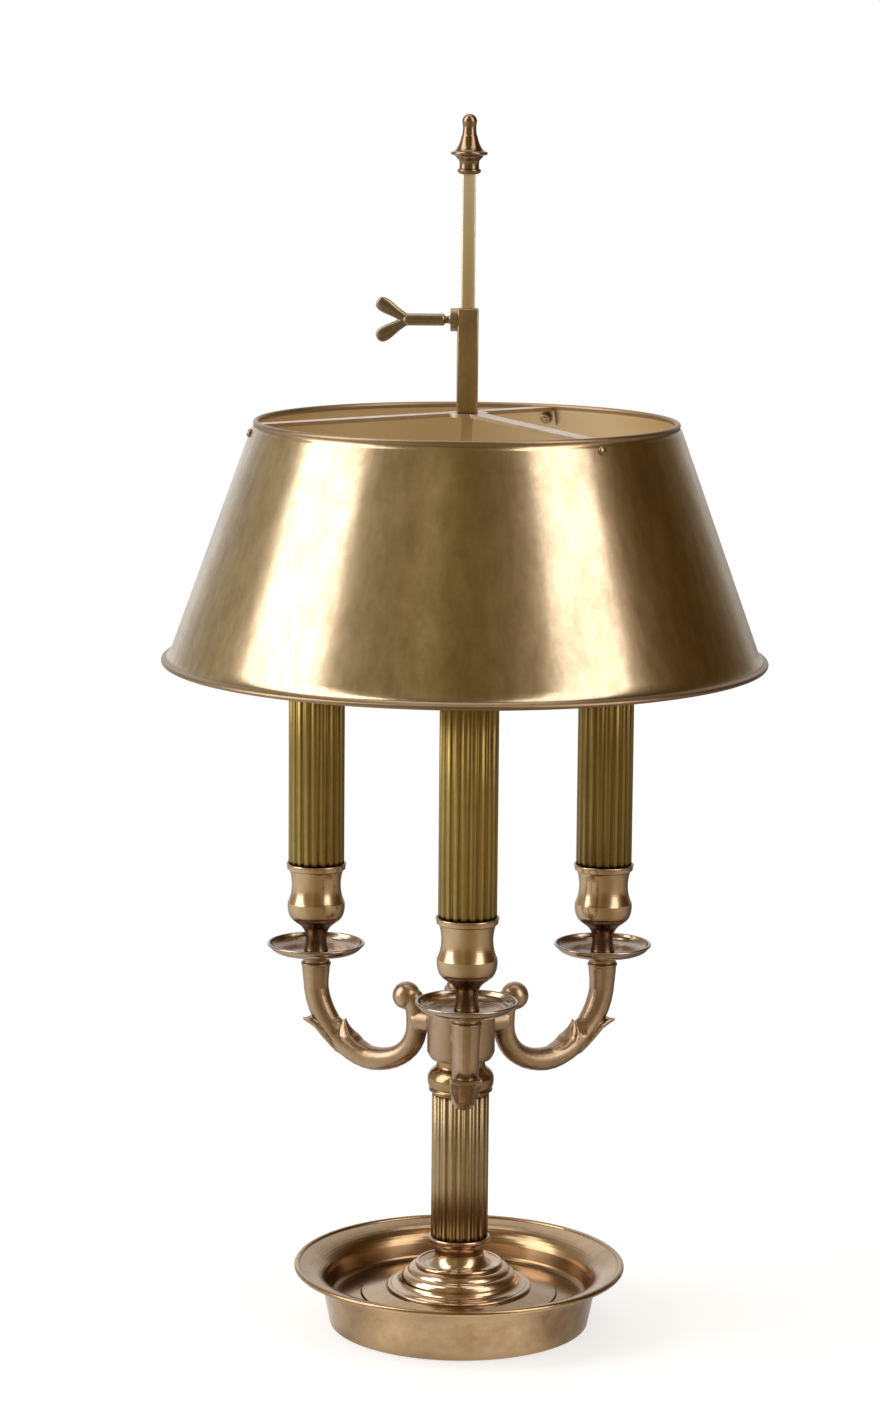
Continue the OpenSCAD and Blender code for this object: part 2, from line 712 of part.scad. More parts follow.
module lampholder(n) {
    color("#e8e2d4") at_candle(n) difference() {
        translate([0, 0, holder_z]) turned(concat(
            [[0, 0], [holder_d / 2 - 3, 0]],
            bend([holder_d / 2 - 2, 0.2], [holder_d / 2, 0.4], [holder_d / 2, 3], 3),
            [[holder_d / 2, holder_h - 1], [holder_d / 2 - 1, holder_h], [0, holder_h]]
        ));
        hole(pipe_hole, holder_z - 1, 9);
        translate([0, 0, holder_top_z - bulb_cap_h - 2])
            cylinder(h = bulb_cap_h + 3, d = socket_d + 2 * gap, $fn = round_n);
    }
}
module lampholder_left() lampholder(0);
module lampholder_right() lampholder(1);
module lampholder_front() lampholder(2);

module bulb(n) {
    cap_r = socket_d / 2 - 0.3;
    r = bulb_d / 2;
    belly_y = 0.38 * bulb_h;
    color("#f4efe2") at_candle(n) translate([0, 0, holder_top_z]) turned(concat(
        [[0, -bulb_cap_h], [4, -bulb_cap_h], [cap_r - 0.6, -bulb_cap_h + 3], [cap_r, -bulb_cap_h + 4]],
        [[cap_r, 0.4]],
        bend([cap_r, 1], [cap_r + 1, 6], [r - 3.6, belly_y - 11], 6),
        bend([r - 2.6, belly_y - 9.4], [r + 0.1, belly_y - 4], [r, belly_y], 6),
        bend([r, belly_y + 1], [r - 0.2, belly_y + 14], [r / 2, bulb_h - 12], 8),
        bend([r / 2 - 0.6, bulb_h - 11], [3.4, bulb_h - 3], [0, bulb_h], 6)
    ));
}
module bulb_left() bulb(0);
module bulb_right() bulb(1);
module bulb_front() bulb(2);

// Rod and finial

stub_d = 4;
stub_h = 6;

module square_rod() {
    color(brass) {
        translate([-rod_r, -rod_r, hub_top_z]) cube([rod_w, rod_w, finial_z - hub_top_z]);
        translate([0, 0, finial_z]) cylinder(h = stub_h, d = stub_d, $fn = 32);
    }
}

module finial() {
    ball_r = finial_ball_d / 2;
    disc_r = finial_disc_d / 2;
    outline = concat(
        [[0, 0], [4.8, 0], [6, 0.9]],
        arc([5.2, 1.8], 1, -30, 90, 4),
        bend([5.2, 3], [4.9, 5.4], [5.4, 7], 4),
        bend([6, 7.6], [6.9, 8.4], [disc_r - 2.2, 9.4], 4),
        arc([disc_r - 0.9, 10.7], 0.9, -80, 80, 5),
        bend([disc_r - 1.8, 11.8], [5.2, 14.4], [4.2, finial_h - 11.5], 8),
        bend([3.8, finial_h - 10.6], [3.5, finial_h - 9], [ball_r - 0.4, finial_h - 2 * ball_r + 1], 5),
        arc([0, finial_h - ball_r], ball_r, -20, 90, 10)
    );
    color(brass) translate([0, 0, finial_z]) difference() {
        turned(outline);
        translate([0, 0, -1]) cylinder(h = stub_h + 1.5, d = stub_d + 2 * gap, $fn = 32);
    }
}

// Shade

// Outer radius of the shade's cone at a height
function cone_r(z) = cone_top_r + cone_slope * (shade_top_z - z);

module shade() {
    lip_z = shade_z + lip_h;
    low_r = (shade_low_d - shade_bead) / 2;
    top_r = (shade_top_d - shade_bead) / 2;
    wall = concat(
        bend([low_r + shade_bead / 4, shade_z + shade_bead / 2], [cone_r(lip_z) + 1, shade_z + lip_h / 2],
            [cone_r(lip_z), lip_z], 6),
        [[cone_r(shade_top_z - shade_bead / 2), shade_top_z - shade_bead / 2]]
    );
    color(brass) difference() {
        union() {
            turned(sheet(wall, shade_t));
            rotate_extrude($fn = round_n) translate([low_r, shade_z + shade_bead / 2])
                circle(d = shade_bead, $fn = 24);
            rotate_extrude($fn = round_n) translate([top_r, shade_top_z - shade_bead / 2])
                circle(d = shade_bead, $fn = 24);
        }
        at_shade_screws() translate([0, 0, -4]) cylinder(h = 8, d = tab_screw_d + 2 * gap, $fn = 32);
    }
}

module at_strips() for (i = [0:2]) rotate(spider_turn + 60 + i * 120) children();

// The place where each screw goes through the cone's outer face, with +Z out of the shade
module at_shade_screws()
    at_strips() translate([cone_r(tab_screw_z), 0, tab_screw_z]) rotate([0, 90 - cone_lean, 0]) children();

// Outer radius of the tabs at a height
function tab_r(z) = cone_r(z) - (shade_t + seat) / cos(cone_lean);

module spider() {
    hole_w = rod_w + 2 * slide_gap;
    corner = [tab_r(strip_end_z), strip_end_z];
    strip = concat(
        [[0, spider_z], [sleeve_w, spider_z]],
        bend(corner - [3, 0], corner, [tab_r(strip_end_z - 3), strip_end_z - 3], 5),
        [[tab_r(strip_end_z - tab_h), strip_end_z - tab_h]]
    );
    color(dark_brass) difference() {
        union() {
            at_strips() rotate([90, 0, 0]) linear_extrude(strip_w, center = true)
                polygon(sheet(strip, -strip_t));
            translate([0, 0, spider_z - strip_t]) cylinder(h = strip_t, d = 2 * sleeve_w, $fn = round_n);
        }
        translate([-hole_w / 2, -hole_w / 2, spider_z - strip_t - 1])
            cube([hole_w, hole_w, strip_t + 2]);
        at_shade_screws() translate([0, 0, -7]) cylinder(h = 9, d = tab_screw_d + 2 * gap, $fn = 32);
    }
}

module shade_screws() {
    nut_face = shade_t + seat + strip_t;
    nut_t = 2.4;
    head_r = 2.8;
    head_h = 2.6;
    color(dark_brass) at_shade_screws() {
        turned(concat(
            [[0, -nut_face - nut_t - 0.6], [tab_screw_d / 2, -nut_face - nut_t - 0.6]],
            [[tab_screw_d / 2, gap], [head_r, gap]],
            bend([head_r, 0.5], [head_r, head_h], [0, head_h], 6)
        ));
        translate([0, 0, -nut_face - nut_t]) hex_nut(5.5, nut_t, tab_screw_d + 2 * gap);
    }
}

// Clamp

module sleeve() {
    bore_w = rod_w + 2 * slide_gap;
    color(dark_brass) difference() {
        translate([-sleeve_w / 2, -sleeve_w / 2, spider_z]) cube([sleeve_w, sleeve_w, sleeve_h]);
        translate([-bore_w / 2, -bore_w / 2, spider_z - 1]) cube([bore_w, bore_w, sleeve_h + 2]);
        translate([0, 0, screw_z]) rotate([0, -90, 0])
            cylinder(h = sleeve_w, d = screw_d + 2 * run_gap, $fn = 48);
    }
}

module screw_boss() {
    color(dark_brass) translate([-sleeve_w / 2, 0, screw_z]) rotate([0, -90, 0]) difference() {
        cylinder(h = screw_boss_t, d = screw_boss_d, $fn = round_n);
        hole(screw_d + 2 * run_gap, 0, screw_boss_t);
    }
}

// Outline of the fork: two wings that widen to round tips, with a notch between them at height y
module fork_outline(y, root_w, notch) {
    tip = [wing_z, y + wing_x];
    lean = atan2(wing_x, wing_z);
    polygon(concat(
        [[root_w, y - 2]],
        arc(tip, wing_d / 2, lean - 90, lean + 90, 10),
        [[0, y + notch]],
        arc([-tip.x, tip.y], wing_d / 2, 90 - lean, 270 - lean, 10),
        [[-root_w, y - 2]]
    ));
}

module thumb_screw() {
    neck_h = 3;
    neck_d = screw_d - 0.8;
    shank_y = screw_x + neck_h;
    fork_y = shank_y + shank_h;
    r = shank_d / 2;
    color(dark_brass) translate([0, 0, screw_z]) rotate([0, -90, 0]) {
        turned(concat(
            [[0, rod_r + seat], [screw_d / 2 - 0.5, rod_r + seat], [screw_d / 2, rod_r + seat + 0.5]],
            [[screw_d / 2, screw_x + seat], [neck_d / 2, screw_x + seat + 0.3], [neck_d / 2, shank_y]],
            bend([r - 1, shank_y], [r, shank_y + 0.4], [r, shank_y + 2.6], 4),
            [[r, fork_y]],
            arc([0, fork_y], r, 0, 90, 6)
        ));
        rotate([90, 0, 0]) linear_extrude(wing_t, center = true)
            fork_outline(fork_y, r - 0.8, r - 1);
    }
}

felt_pad();
base_weight();
base_drum();
base_tray();
cord_bush();
tie_rod();
tie_washer();
tie_nuts();
turned_foot();
column_ring();
column();
capital();
hub();
hub_cap();
arm_nuts();
arm_left();
arm_right();
arm_front();
drip_pan_left();
drip_pan_right();
drip_pan_front();
candle_cup_left();
candle_cup_right();
candle_cup_front();
candle_tube_left();
candle_tube_right();
candle_tube_front();
pipe_left();
pipe_right();
pipe_front();
cup_nuts();
lampholder_left();
lampholder_right();
lampholder_front();
bulb_left();
bulb_right();
bulb_front();
square_rod();
finial();
shade();
spider();
shade_screws();
sleeve();
screw_boss();
thumb_screw();
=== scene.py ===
# %% [markdown]
# # A three-light table lamp with a sliding metal shade
#
# The lamp has a round tray base, a fluted column, three scroll arms with candle tubes, and a cone
# shade that slides on a square rod. Its construction was made to size elsewhere. Here it gets its
# looks: antique brass in several tones, softened castings, rolled edges and the light of a studio.

# %% Load the frame
import json
import math

import bmesh
import bpy
from mathutils import Matrix, Vector

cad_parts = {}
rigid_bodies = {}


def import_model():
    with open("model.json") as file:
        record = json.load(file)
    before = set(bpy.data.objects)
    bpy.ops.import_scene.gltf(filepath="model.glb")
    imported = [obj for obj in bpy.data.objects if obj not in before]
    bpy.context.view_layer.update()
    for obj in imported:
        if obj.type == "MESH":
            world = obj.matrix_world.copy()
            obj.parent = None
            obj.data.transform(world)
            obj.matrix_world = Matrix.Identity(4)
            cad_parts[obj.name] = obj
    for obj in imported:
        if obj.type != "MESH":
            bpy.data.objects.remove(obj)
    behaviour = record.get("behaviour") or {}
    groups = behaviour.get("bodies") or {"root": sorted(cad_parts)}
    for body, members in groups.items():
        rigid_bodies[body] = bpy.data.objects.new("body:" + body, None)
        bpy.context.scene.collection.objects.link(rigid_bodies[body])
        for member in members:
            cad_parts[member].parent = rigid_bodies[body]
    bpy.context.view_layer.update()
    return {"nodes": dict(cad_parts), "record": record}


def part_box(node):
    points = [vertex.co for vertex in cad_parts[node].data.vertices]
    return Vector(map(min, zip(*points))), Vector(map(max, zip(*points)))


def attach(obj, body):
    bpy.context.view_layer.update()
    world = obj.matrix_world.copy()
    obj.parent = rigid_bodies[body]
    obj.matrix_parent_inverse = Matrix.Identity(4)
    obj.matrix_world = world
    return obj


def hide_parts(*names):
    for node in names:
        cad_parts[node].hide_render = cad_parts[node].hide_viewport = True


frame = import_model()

# %% [markdown]
# ## The camera
#
# The camera stands where the photographer stood: about two metres away, a little above the shade,
# looking slightly down. Long lenses keep the shade's ellipses flat, so a 101 mm lens on a frame
# 36 mm high is used. A turn about the vertical, a tilt and a small roll are written as three
# rotations, because each is one thing that a person does with a tripod head.

# %% Place the camera
CAMERA_PLACE = Vector((-0.0631, -2.0939, 0.6858))
CAMERA_TURN = math.radians(-1.376)
CAMERA_TILT = math.radians(90 - 9.516)
CAMERA_ROLL = math.radians(0.483)
CAMERA_LENS = 100.87
FILM_HEIGHT = 36

bpy.ops.object.select_all(action="DESELECT")
bpy.ops.object.camera_add(location=CAMERA_PLACE)
camera = bpy.context.object
camera.name = "camera"
camera.matrix_world = (
    Matrix.Translation(CAMERA_PLACE)
    @ Matrix.Rotation(CAMERA_TURN, 4, "Z")
    @ Matrix.Rotation(CAMERA_TILT, 4, "X")
    @ Matrix.Rotation(CAMERA_ROLL, 4, "Z")
)
camera.data.sensor_fit = "VERTICAL"
camera.data.sensor_height = FILM_HEIGHT
camera.data.lens = CAMERA_LENS
bpy.context.scene.camera = camera
print("camera at", tuple(round(v, 3) for v in camera.location))

# %% [markdown]
# ## Helpers for nodes
#
# Materials, the world and the floor are all node trees. Short helpers add a node, fill its inputs
# and name the few steps that come back often, so that each recipe below reads from left to right
# like the tree itself.

# %% Node helpers


def add(tree, kind, **values):
    """A new node, with its settings and with its inputs set by name."""
    node = tree.nodes.new(kind)
    for name, value in values.items():
        if name == "inputs":
            for socket, content in value.items():
                fill(tree, node.inputs[socket], content)
        else:
            setattr(node, name, value)
    return node


def fill(tree, socket, content):
    """Links content to the socket if it is a socket itself, or else sets it as a value."""
    if isinstance(content, bpy.types.NodeSocket):
        tree.links.new(content, socket)
    else:
        socket.default_value = content


def ramp(tree, value, stops):
    """A colour ramp over stops of (place, grey or colour)."""
    node = add(tree, "ShaderNodeValToRGB", inputs={"Fac": value})
    while len(node.color_ramp.elements) < len(stops):
        node.color_ramp.elements.new(0.5)
    for element, (place, shade) in zip(node.color_ramp.elements, stops):
        element.position = place
        element.color = (*shade, 1) if isinstance(shade, tuple) else (shade, shade, shade, 1)
    return node.outputs["Color"]


def math_node(tree, operation, *values, clamp=False):
    """One sum on numbers, such as MULTIPLY or ADD."""
    node = add(tree, "ShaderNodeMath", operation=operation, use_clamp=clamp)
    for socket, value in zip(node.inputs, values):
        fill(tree, socket, value)
    return node.outputs[0]


def mix_colours(tree, share, first, second, blend="MIX"):
    """A mix of two colours, second by its share over first."""
    node = add(tree, "ShaderNodeMix", data_type="RGBA", blend_type=blend)
    fill(tree, node.inputs[0], share)
    fill(tree, node.inputs[6], first)
    fill(tree, node.inputs[7], second)
    return node.outputs[2]


def rises(tree, value, low, high):
    """A soft step: 0 where the value is at low, 1 where it is at high."""
    return add(tree, "ShaderNodeMapRange", interpolation_type="SMOOTHSTEP",
               inputs={"Value": value, "From Min": low, "From Max": high,
                       "To Min": 0.0, "To Max": 1.0}).outputs["Result"]


def turn_share(tree, place):
    """How far round the lamp a place lies: 0 behind, 0.25 at the left, 0.5 in front of it."""
    across = add(tree, "ShaderNodeSeparateXYZ", inputs={0: place})
    toward = math_node(tree, "MULTIPLY", across.outputs["Y"], -1.0)
    turn = math_node(tree, "ARCTAN2", across.outputs["X"], toward)
    return math_node(tree, "MULTIPLY_ADD", turn, 1 / (2 * math.pi), 0.5)


def tones_round(tree, place, tones):
    """Tones round the lamp over stops of (degrees to the right of the camera, tone)."""
    return ramp(tree, turn_share(tree, place), [((turn + 180) / 360, tone) for turn, tone in tones])


# %% [markdown]
# ## The studio
#
# Polished metal shows its surroundings more than its own colour. The photograph's shade has one
# wide white band on the left, a narrower one on the right, a dark middle and pale edges. Each is
# something in the studio: two tall soft boxes, the dark room behind the camera and the white
# paper behind the lamp. So the studio is built first, and the metal only has to reflect it.
#
# The lamp stands on white paper, which glows a little and fades to clear toward its edge. The wall
# of the base mirrors the paper at its foot, and in the photograph that reflection is uneven. So the
# paper glows in different tones round the lamp, for mirror rays alone. A mirror ray that has come
# from further away passes through the paper, and so the shade reflects the room.

# %% Lay the floor
FLOOR_RADIUS = 0.45
FADE_FROM = 0.35 * FLOOR_RADIUS
PAPER_GLOW = 0.68
MIRROR_NEAR, MIRROR_FAR = 0.05, 0.11
# Degrees to the right of the camera, then the glow in mirrors as a share of the plain glow
PAPER_ROUND = [
    (-180, 0.9), (-90, 0.8), (-63, 0.54), (-40, 1.35), (-17, 0.86), (6, 1.22), (29, 1.36),
    (51, 0.57), (74, 0.41), (110, 0.5),
]

bpy.ops.object.select_all(action="DESELECT")
bpy.ops.mesh.primitive_circle_add(vertices=96, radius=FLOOR_RADIUS, fill_type="NGON")
floor = bpy.context.object
floor.name = "floor"

paper = bpy.data.materials.new("paper")
paper.use_nodes = True
tree = paper.node_tree
tree.nodes.clear()
place = add(tree, "ShaderNodeTexCoord").outputs["Object"]
path = add(tree, "ShaderNodeLightPath")
mirror = path.outputs["Is Glossy Ray"]
in_mirrors = tones_round(tree, place, [(turn, PAPER_GLOW * tone) for turn, tone in PAPER_ROUND])
glow = mix_colours(tree, mirror, (PAPER_GLOW, PAPER_GLOW, PAPER_GLOW, 1), in_mirrors)
plain = add(tree, "ShaderNodeBsdfPrincipled",
            inputs={"Base Color": (0.45, 0.45, 0.45, 1), "Roughness": 0.9,
                    "Specular IOR Level": 0.1, "Emission Color": (1, 1, 1, 1),
                    "Emission Strength": glow})
clear = add(tree, "ShaderNodeBsdfTransparent")
reach = add(tree, "ShaderNodeVectorMath", operation="LENGTH", inputs={0: place}).outputs["Value"]
far = rises(tree, path.outputs["Ray Length"], MIRROR_NEAR, MIRROR_FAR)
met = math_node(tree, "SUBTRACT", 1.0, math_node(tree, "MULTIPLY", mirror, far))
there = math_node(tree, "MULTIPLY", rises(tree, reach, FLOOR_RADIUS, FADE_FROM), met)
faded = add(tree, "ShaderNodeMixShader",
            inputs={0: there, 1: clear.outputs[0], 2: plain.outputs[0]})
add(tree, "ShaderNodeOutputMaterial", inputs={"Surface": faded.outputs[0]})
floor.data.materials.append(paper)
print("floor radius", FLOOR_RADIUS)

# %% [markdown]
# The camera sees plain white paper behind the lamp. Everything else sees a room, painted on the
# world as a photographer would note it on a plan: degrees to the right of the camera, then how
# bright and how brown the room is there. Below the horizon lies the table, which is pale at the
# sides, under the soft boxes. High up is the dark ceiling. Heights are the upward part of the aim,
# from -1 straight down to 1 straight up. These tones, and the paper's, were worked out from the
# colours of the reflections in the photograph, and then changed by comparing renders with it.

# %% Light the room
WHITE_PAPER = (1.0, 1.0, 1.0)
ROOM_ROUND = [
    (-180, (1.0, 1.0, 1.0)), (-158, (0.95, 0.95, 0.95)), (-142, (0.55, 0.52, 0.48)),
    (-122, (0.44, 0.38, 0.25)), (-108, (0.50, 0.43, 0.30)), (-98, (0.95, 0.85, 0.68)),
    (-90, (0.95, 0.85, 0.68)), (-50, (0.40, 0.33, 0.20)), (-39, (0.36, 0.29, 0.17)),
    (-29, (0.31, 0.24, 0.125)), (-20, (0.43, 0.36, 0.19)), (-10, (0.26, 0.20, 0.09)),
    (1, (0.21, 0.155, 0.055)), (20, (0.26, 0.19, 0.095)), (60, (0.95, 0.82, 0.66)),
    (68, (0.80, 0.64, 0.50)), (78, (0.21, 0.15, 0.07)), (92, (0.12, 0.07, 0.023)),
    (112, (0.09, 0.05, 0.012)), (130, (0.14, 0.10, 0.055)), (141, (0.24, 0.20, 0.16)),
    (152, (0.52, 0.50, 0.47)), (171, (0.75, 0.75, 0.75)),
]
TABLE_ROUND = [
    (-180, (0.80, 0.80, 0.80)), (-150, (0.55, 0.49, 0.40)), (-125, (0.85, 0.82, 0.74)),
    (-97, (0.95, 0.94, 0.86)), (-50, (0.78, 0.73, 0.58)), (-31, (0.55, 0.49, 0.38)),
    (0, (0.37, 0.29, 0.15)), (31, (0.40, 0.32, 0.20)), (55, (0.58, 0.50, 0.35)),
    (95, (0.48, 0.41, 0.33)), (125, (0.20, 0.17, 0.13)), (151, (0.12, 0.10, 0.085)),
    (165, (0.30, 0.28, 0.25)), (176, (0.80, 0.80, 0.80)),
]
CEILING_TONE = (0.20, 0.155, 0.09)
TABLE_FROM, TABLE_BELOW = 0.02, -0.12
CEILING_FROM, CEILING_ABOVE = 0.75, 0.95

world = bpy.data.worlds.new("room")
bpy.context.scene.world = world
world.use_nodes = True
tree = world.node_tree
tree.nodes.clear()
aim = add(tree, "ShaderNodeTexCoord").outputs["Generated"]
upward = add(tree, "ShaderNodeSeparateXYZ", inputs={0: aim}).outputs["Z"]
room = tones_round(tree, aim, ROOM_ROUND)
table = tones_round(tree, aim, TABLE_ROUND)
room = mix_colours(tree, rises(tree, upward, TABLE_FROM, TABLE_BELOW), room, table)
room = mix_colours(tree, rises(tree, upward, CEILING_FROM, CEILING_ABOVE), room, (*CEILING_TONE, 1))
seen = add(tree, "ShaderNodeLightPath").outputs["Is Camera Ray"]
shown = mix_colours(tree, seen, room, (*WHITE_PAPER, 1))
background = add(tree, "ShaderNodeBackground", inputs={"Color": shown})
add(tree, "ShaderNodeOutputWorld", inputs={"Surface": background.outputs[0]})
print("room with", len(ROOM_ROUND), "tones round the lamp")

# %% [markdown]
# The soft boxes light the lamp and draw the white bands on its shade. Each is a rectangular area
# light that faces the lamp's middle. A cone shows a tall box as an upright band with clear edges, so
# the two at the sides are tall, and their widths set the widths of the bands. The third hangs above
# and a little behind, and picks out the upper edges.

# %% Hang the soft boxes
LAMP_MIDDLE = Vector((0, 0, 0.40))


def soft_box(name, turn, lift, distance, width, height, power):
    """A rectangular light at a turn to the right of the camera and a lift above the table."""
    turn = math.radians(turn)
    lift = math.radians(lift)
    way = Vector((math.sin(turn) * math.cos(lift), -math.cos(turn) * math.cos(lift), math.sin(lift)))
    spot = LAMP_MIDDLE + distance * way
    bpy.ops.object.select_all(action="DESELECT")
    bpy.ops.object.light_add(type="AREA", location=spot)
    light = bpy.context.object
    light.name = name
    light.rotation_euler = (-way).to_track_quat("-Z", "Y").to_euler()
    light.data.shape = "RECTANGLE"
    light.data.size = width
    light.data.size_y = height
    light.data.energy = power
    print(name, "of", power, "W")


soft_box("soft_box_left", turn=-79.3, lift=33, distance=2.6, width=1.62, height=3.5, power=52)
soft_box("soft_box_right", turn=51.2, lift=35, distance=2.6, width=1.27, height=3.5, power=26.5)
soft_box("soft_box_top", turn=180, lift=78, distance=2.4, width=1.6, height=1.6, power=10)

# %% [markdown]
# ## Antique brass
#
# Antique brass is brass that was darkened with a bath and then rubbed back, so it is pale where
# hands and polish reach and brown in the recesses. Two effects make this colour on every metal
# piece: clouds of tarnish, and a recess mask from ambient occlusion. The mask is patina in the
# hollows, and where a finish gives it a long reach it also darkens necks and undersides where shade
# falls: that part is painted shade. The stronger of the two wins at each spot. They are a node
# group, so each material sets its own tones: a polished one, and one for tarnish and painted shade.

# %% The patina group
CLOUD_SCALE, SPECK_SCALE = 22.0, 160.0
CLOUD_SHARE = 0.65
CLOUD_FROM, CLOUD_FULL = 0.38, 0.66
RECESS_CURVE = 0.8
TARNISH_ROUGHNESS = 0.08


def group(name, inputs, outputs):
    """An empty node group with named sockets, its input node and its output node."""
    tree = bpy.data.node_groups.new(name, "ShaderNodeTree")
    for label, kind in inputs:
        tree.interface.new_socket(name=label, in_out="INPUT", socket_type=kind)
    for label, kind in outputs:
        tree.interface.new_socket(name=label, in_out="OUTPUT", socket_type=kind)
    return tree, tree.nodes.new("NodeGroupInput"), tree.nodes.new("NodeGroupOutput")


patina, given, result = group(
    "patina",
    [
        ("Polished", "NodeSocketColor"), ("Tarnish And Shade", "NodeSocketColor"), ("Clouds", "NodeSocketFloat"),
        ("Recess", "NodeSocketFloat"), ("Reach", "NodeSocketFloat"), ("Gloss", "NodeSocketFloat"),
    ],
    [("Color", "NodeSocketColor"), ("Roughness", "NodeSocketFloat")],
)
place = add(patina, "ShaderNodeTexCoord").outputs["Object"]
broad = add(patina, "ShaderNodeTexNoise",
            inputs={"Vector": place, "Scale": CLOUD_SCALE, "Detail": 4.0, "Roughness": 0.6})
fine = add(patina, "ShaderNodeTexNoise",
           inputs={"Vector": place, "Scale": SPECK_SCALE, "Detail": 6.0, "Roughness": 0.65})
cloud = math_node(patina, "ADD",
                  math_node(patina, "MULTIPLY", broad.outputs["Fac"], CLOUD_SHARE),
                  math_node(patina, "MULTIPLY", fine.outputs["Fac"], 1 - CLOUD_SHARE))
cloud = ramp(patina, cloud, [(CLOUD_FROM, 0.0), (CLOUD_FULL, 1.0)])
cloud = math_node(patina, "MULTIPLY", cloud, given.outputs["Clouds"])
open_sky = add(patina, "ShaderNodeAmbientOcclusion", samples=8,
               inputs={"Distance": given.outputs["Reach"]}).outputs["AO"]
# The occluded share: patina in the hollows and, with a long reach, painted shade under and between parts
recess_patina_and_shade = math_node(patina, "POWER", math_node(patina, "SUBTRACT", 1.0, open_sky), RECESS_CURVE)
recess_patina_and_shade = math_node(patina, "MULTIPLY", recess_patina_and_shade, given.outputs["Recess"], clamp=True)
tarnish_and_shade = math_node(patina, "MAXIMUM", cloud, recess_patina_and_shade)
colour = mix_colours(patina, tarnish_and_shade, given.outputs["Polished"], given.outputs["Tarnish And Shade"])
rough = math_node(patina, "ADD", given.outputs["Gloss"],
                  math_node(patina, "MULTIPLY", tarnish_and_shade, TARNISH_ROUGHNESS))
fill(patina, result.inputs["Color"], colour)
fill(patina, result.inputs["Roughness"], rough)
print("patina group with", len(patina.nodes), "nodes")

# %% [markdown]
# Two kinds of relief disturb a reflection. Lines of the polishing wheel run round a turned piece, so
# across its height the surface is a stack of fine ridges: noise that is stretched flat gives them.
# And thin sheet is never quite even. Shallow dents of a few hundredths of a millimetre, centimetres
# across, make the edges of the soft boxes waver.

# %% The relief group
relief, given, result = group(
    "relief",
    [
        ("Stretch", "NodeSocketVector"), ("Depth", "NodeSocketFloat"),
        ("Dent Scale", "NodeSocketFloat"), ("Dent Depth", "NodeSocketFloat"),
    ],
    [("Height", "NodeSocketFloat")],
)
place = add(relief, "ShaderNodeTexCoord").outputs["Object"]
stretched = add(relief, "ShaderNodeVectorMath", operation="MULTIPLY",
                inputs={0: place, 1: given.outputs["Stretch"]}).outputs["Vector"]
wave = add(relief, "ShaderNodeTexNoise", inputs={"Vector": stretched, "Scale": 1.0, "Detail": 5.0,
                                                 "Roughness": 0.7}).outputs["Fac"]
dent = add(relief, "ShaderNodeTexNoise", inputs={"Vector": place, "Scale": given.outputs["Dent Scale"],
                                                 "Detail": 2.5, "Roughness": 0.45}).outputs["Fac"]
height = math_node(relief, "ADD", math_node(relief, "MULTIPLY", wave, given.outputs["Depth"]),
                   math_node(relief, "MULTIPLY", dent, given.outputs["Dent Depth"]))
fill(relief, result.inputs["Height"], height)
print("relief group with", len(relief.nodes), "nodes")

# %% [markdown]
# A metal finish is the two groups joined to one shader: the patina gives colour and roughness, the
# relief gives the bump. The bulbs and the small parts of plastic, felt, iron and plated steel sit
# inside the lamp or under it, and share a plainer recipe with a fine grain.

# %% Material recipes
MM = 0.001
GRAIN_SCALE = 900.0
GRAIN_DEPTH = 0.1 * MM
GRAIN_DARKER = 0.7


def metal(name, polished, tarnish_and_shade_tone, gloss, clouds=0.35, recess=0.8, reach=0.006,
          stretch=(6.0, 6.0, 900.0), depth=0.01, dents=(60.0, 0.03)):
    """A brass finish; depths are in millimetres, and dents are their scale and depth.

    Returns the material, its patina node and its shader."""
    material = bpy.data.materials.new(name)
    material.use_nodes = True
    tree = material.node_tree
    tree.nodes.clear()
    skin = add(tree, "ShaderNodeGroup", node_tree=patina)
    skin.inputs["Polished"].default_value = (*polished, 1)
    skin.inputs["Tarnish And Shade"].default_value = (*tarnish_and_shade_tone, 1)
    skin.inputs["Gloss"].default_value = gloss
    skin.inputs["Clouds"].default_value = clouds
    skin.inputs["Recess"].default_value = recess
    skin.inputs["Reach"].default_value = reach
    wheel = add(tree, "ShaderNodeGroup", node_tree=relief)
    wheel.inputs["Stretch"].default_value = stretch
    wheel.inputs["Depth"].default_value = depth * MM
    wheel.inputs["Dent Scale"].default_value = dents[0]
    wheel.inputs["Dent Depth"].default_value = dents[1] * MM
    bump = add(tree, "ShaderNodeBump", inputs={"Height": wheel.outputs["Height"],
                                               "Strength": 1.0, "Distance": 1.0})
    shader = add(tree, "ShaderNodeBsdfPrincipled",
                 inputs={"Base Color": skin.outputs["Color"], "Metallic": 1.0,
                         "Roughness": skin.outputs["Roughness"], "Normal": bump.outputs["Normal"]})
    add(tree, "ShaderNodeOutputMaterial", inputs={"Surface": shader.outputs["BSDF"]})
    return material, skin, shader


def brass(*values, **settings):
    """A brass finish that needs no further step."""
    return metal(*values, **settings)[0]


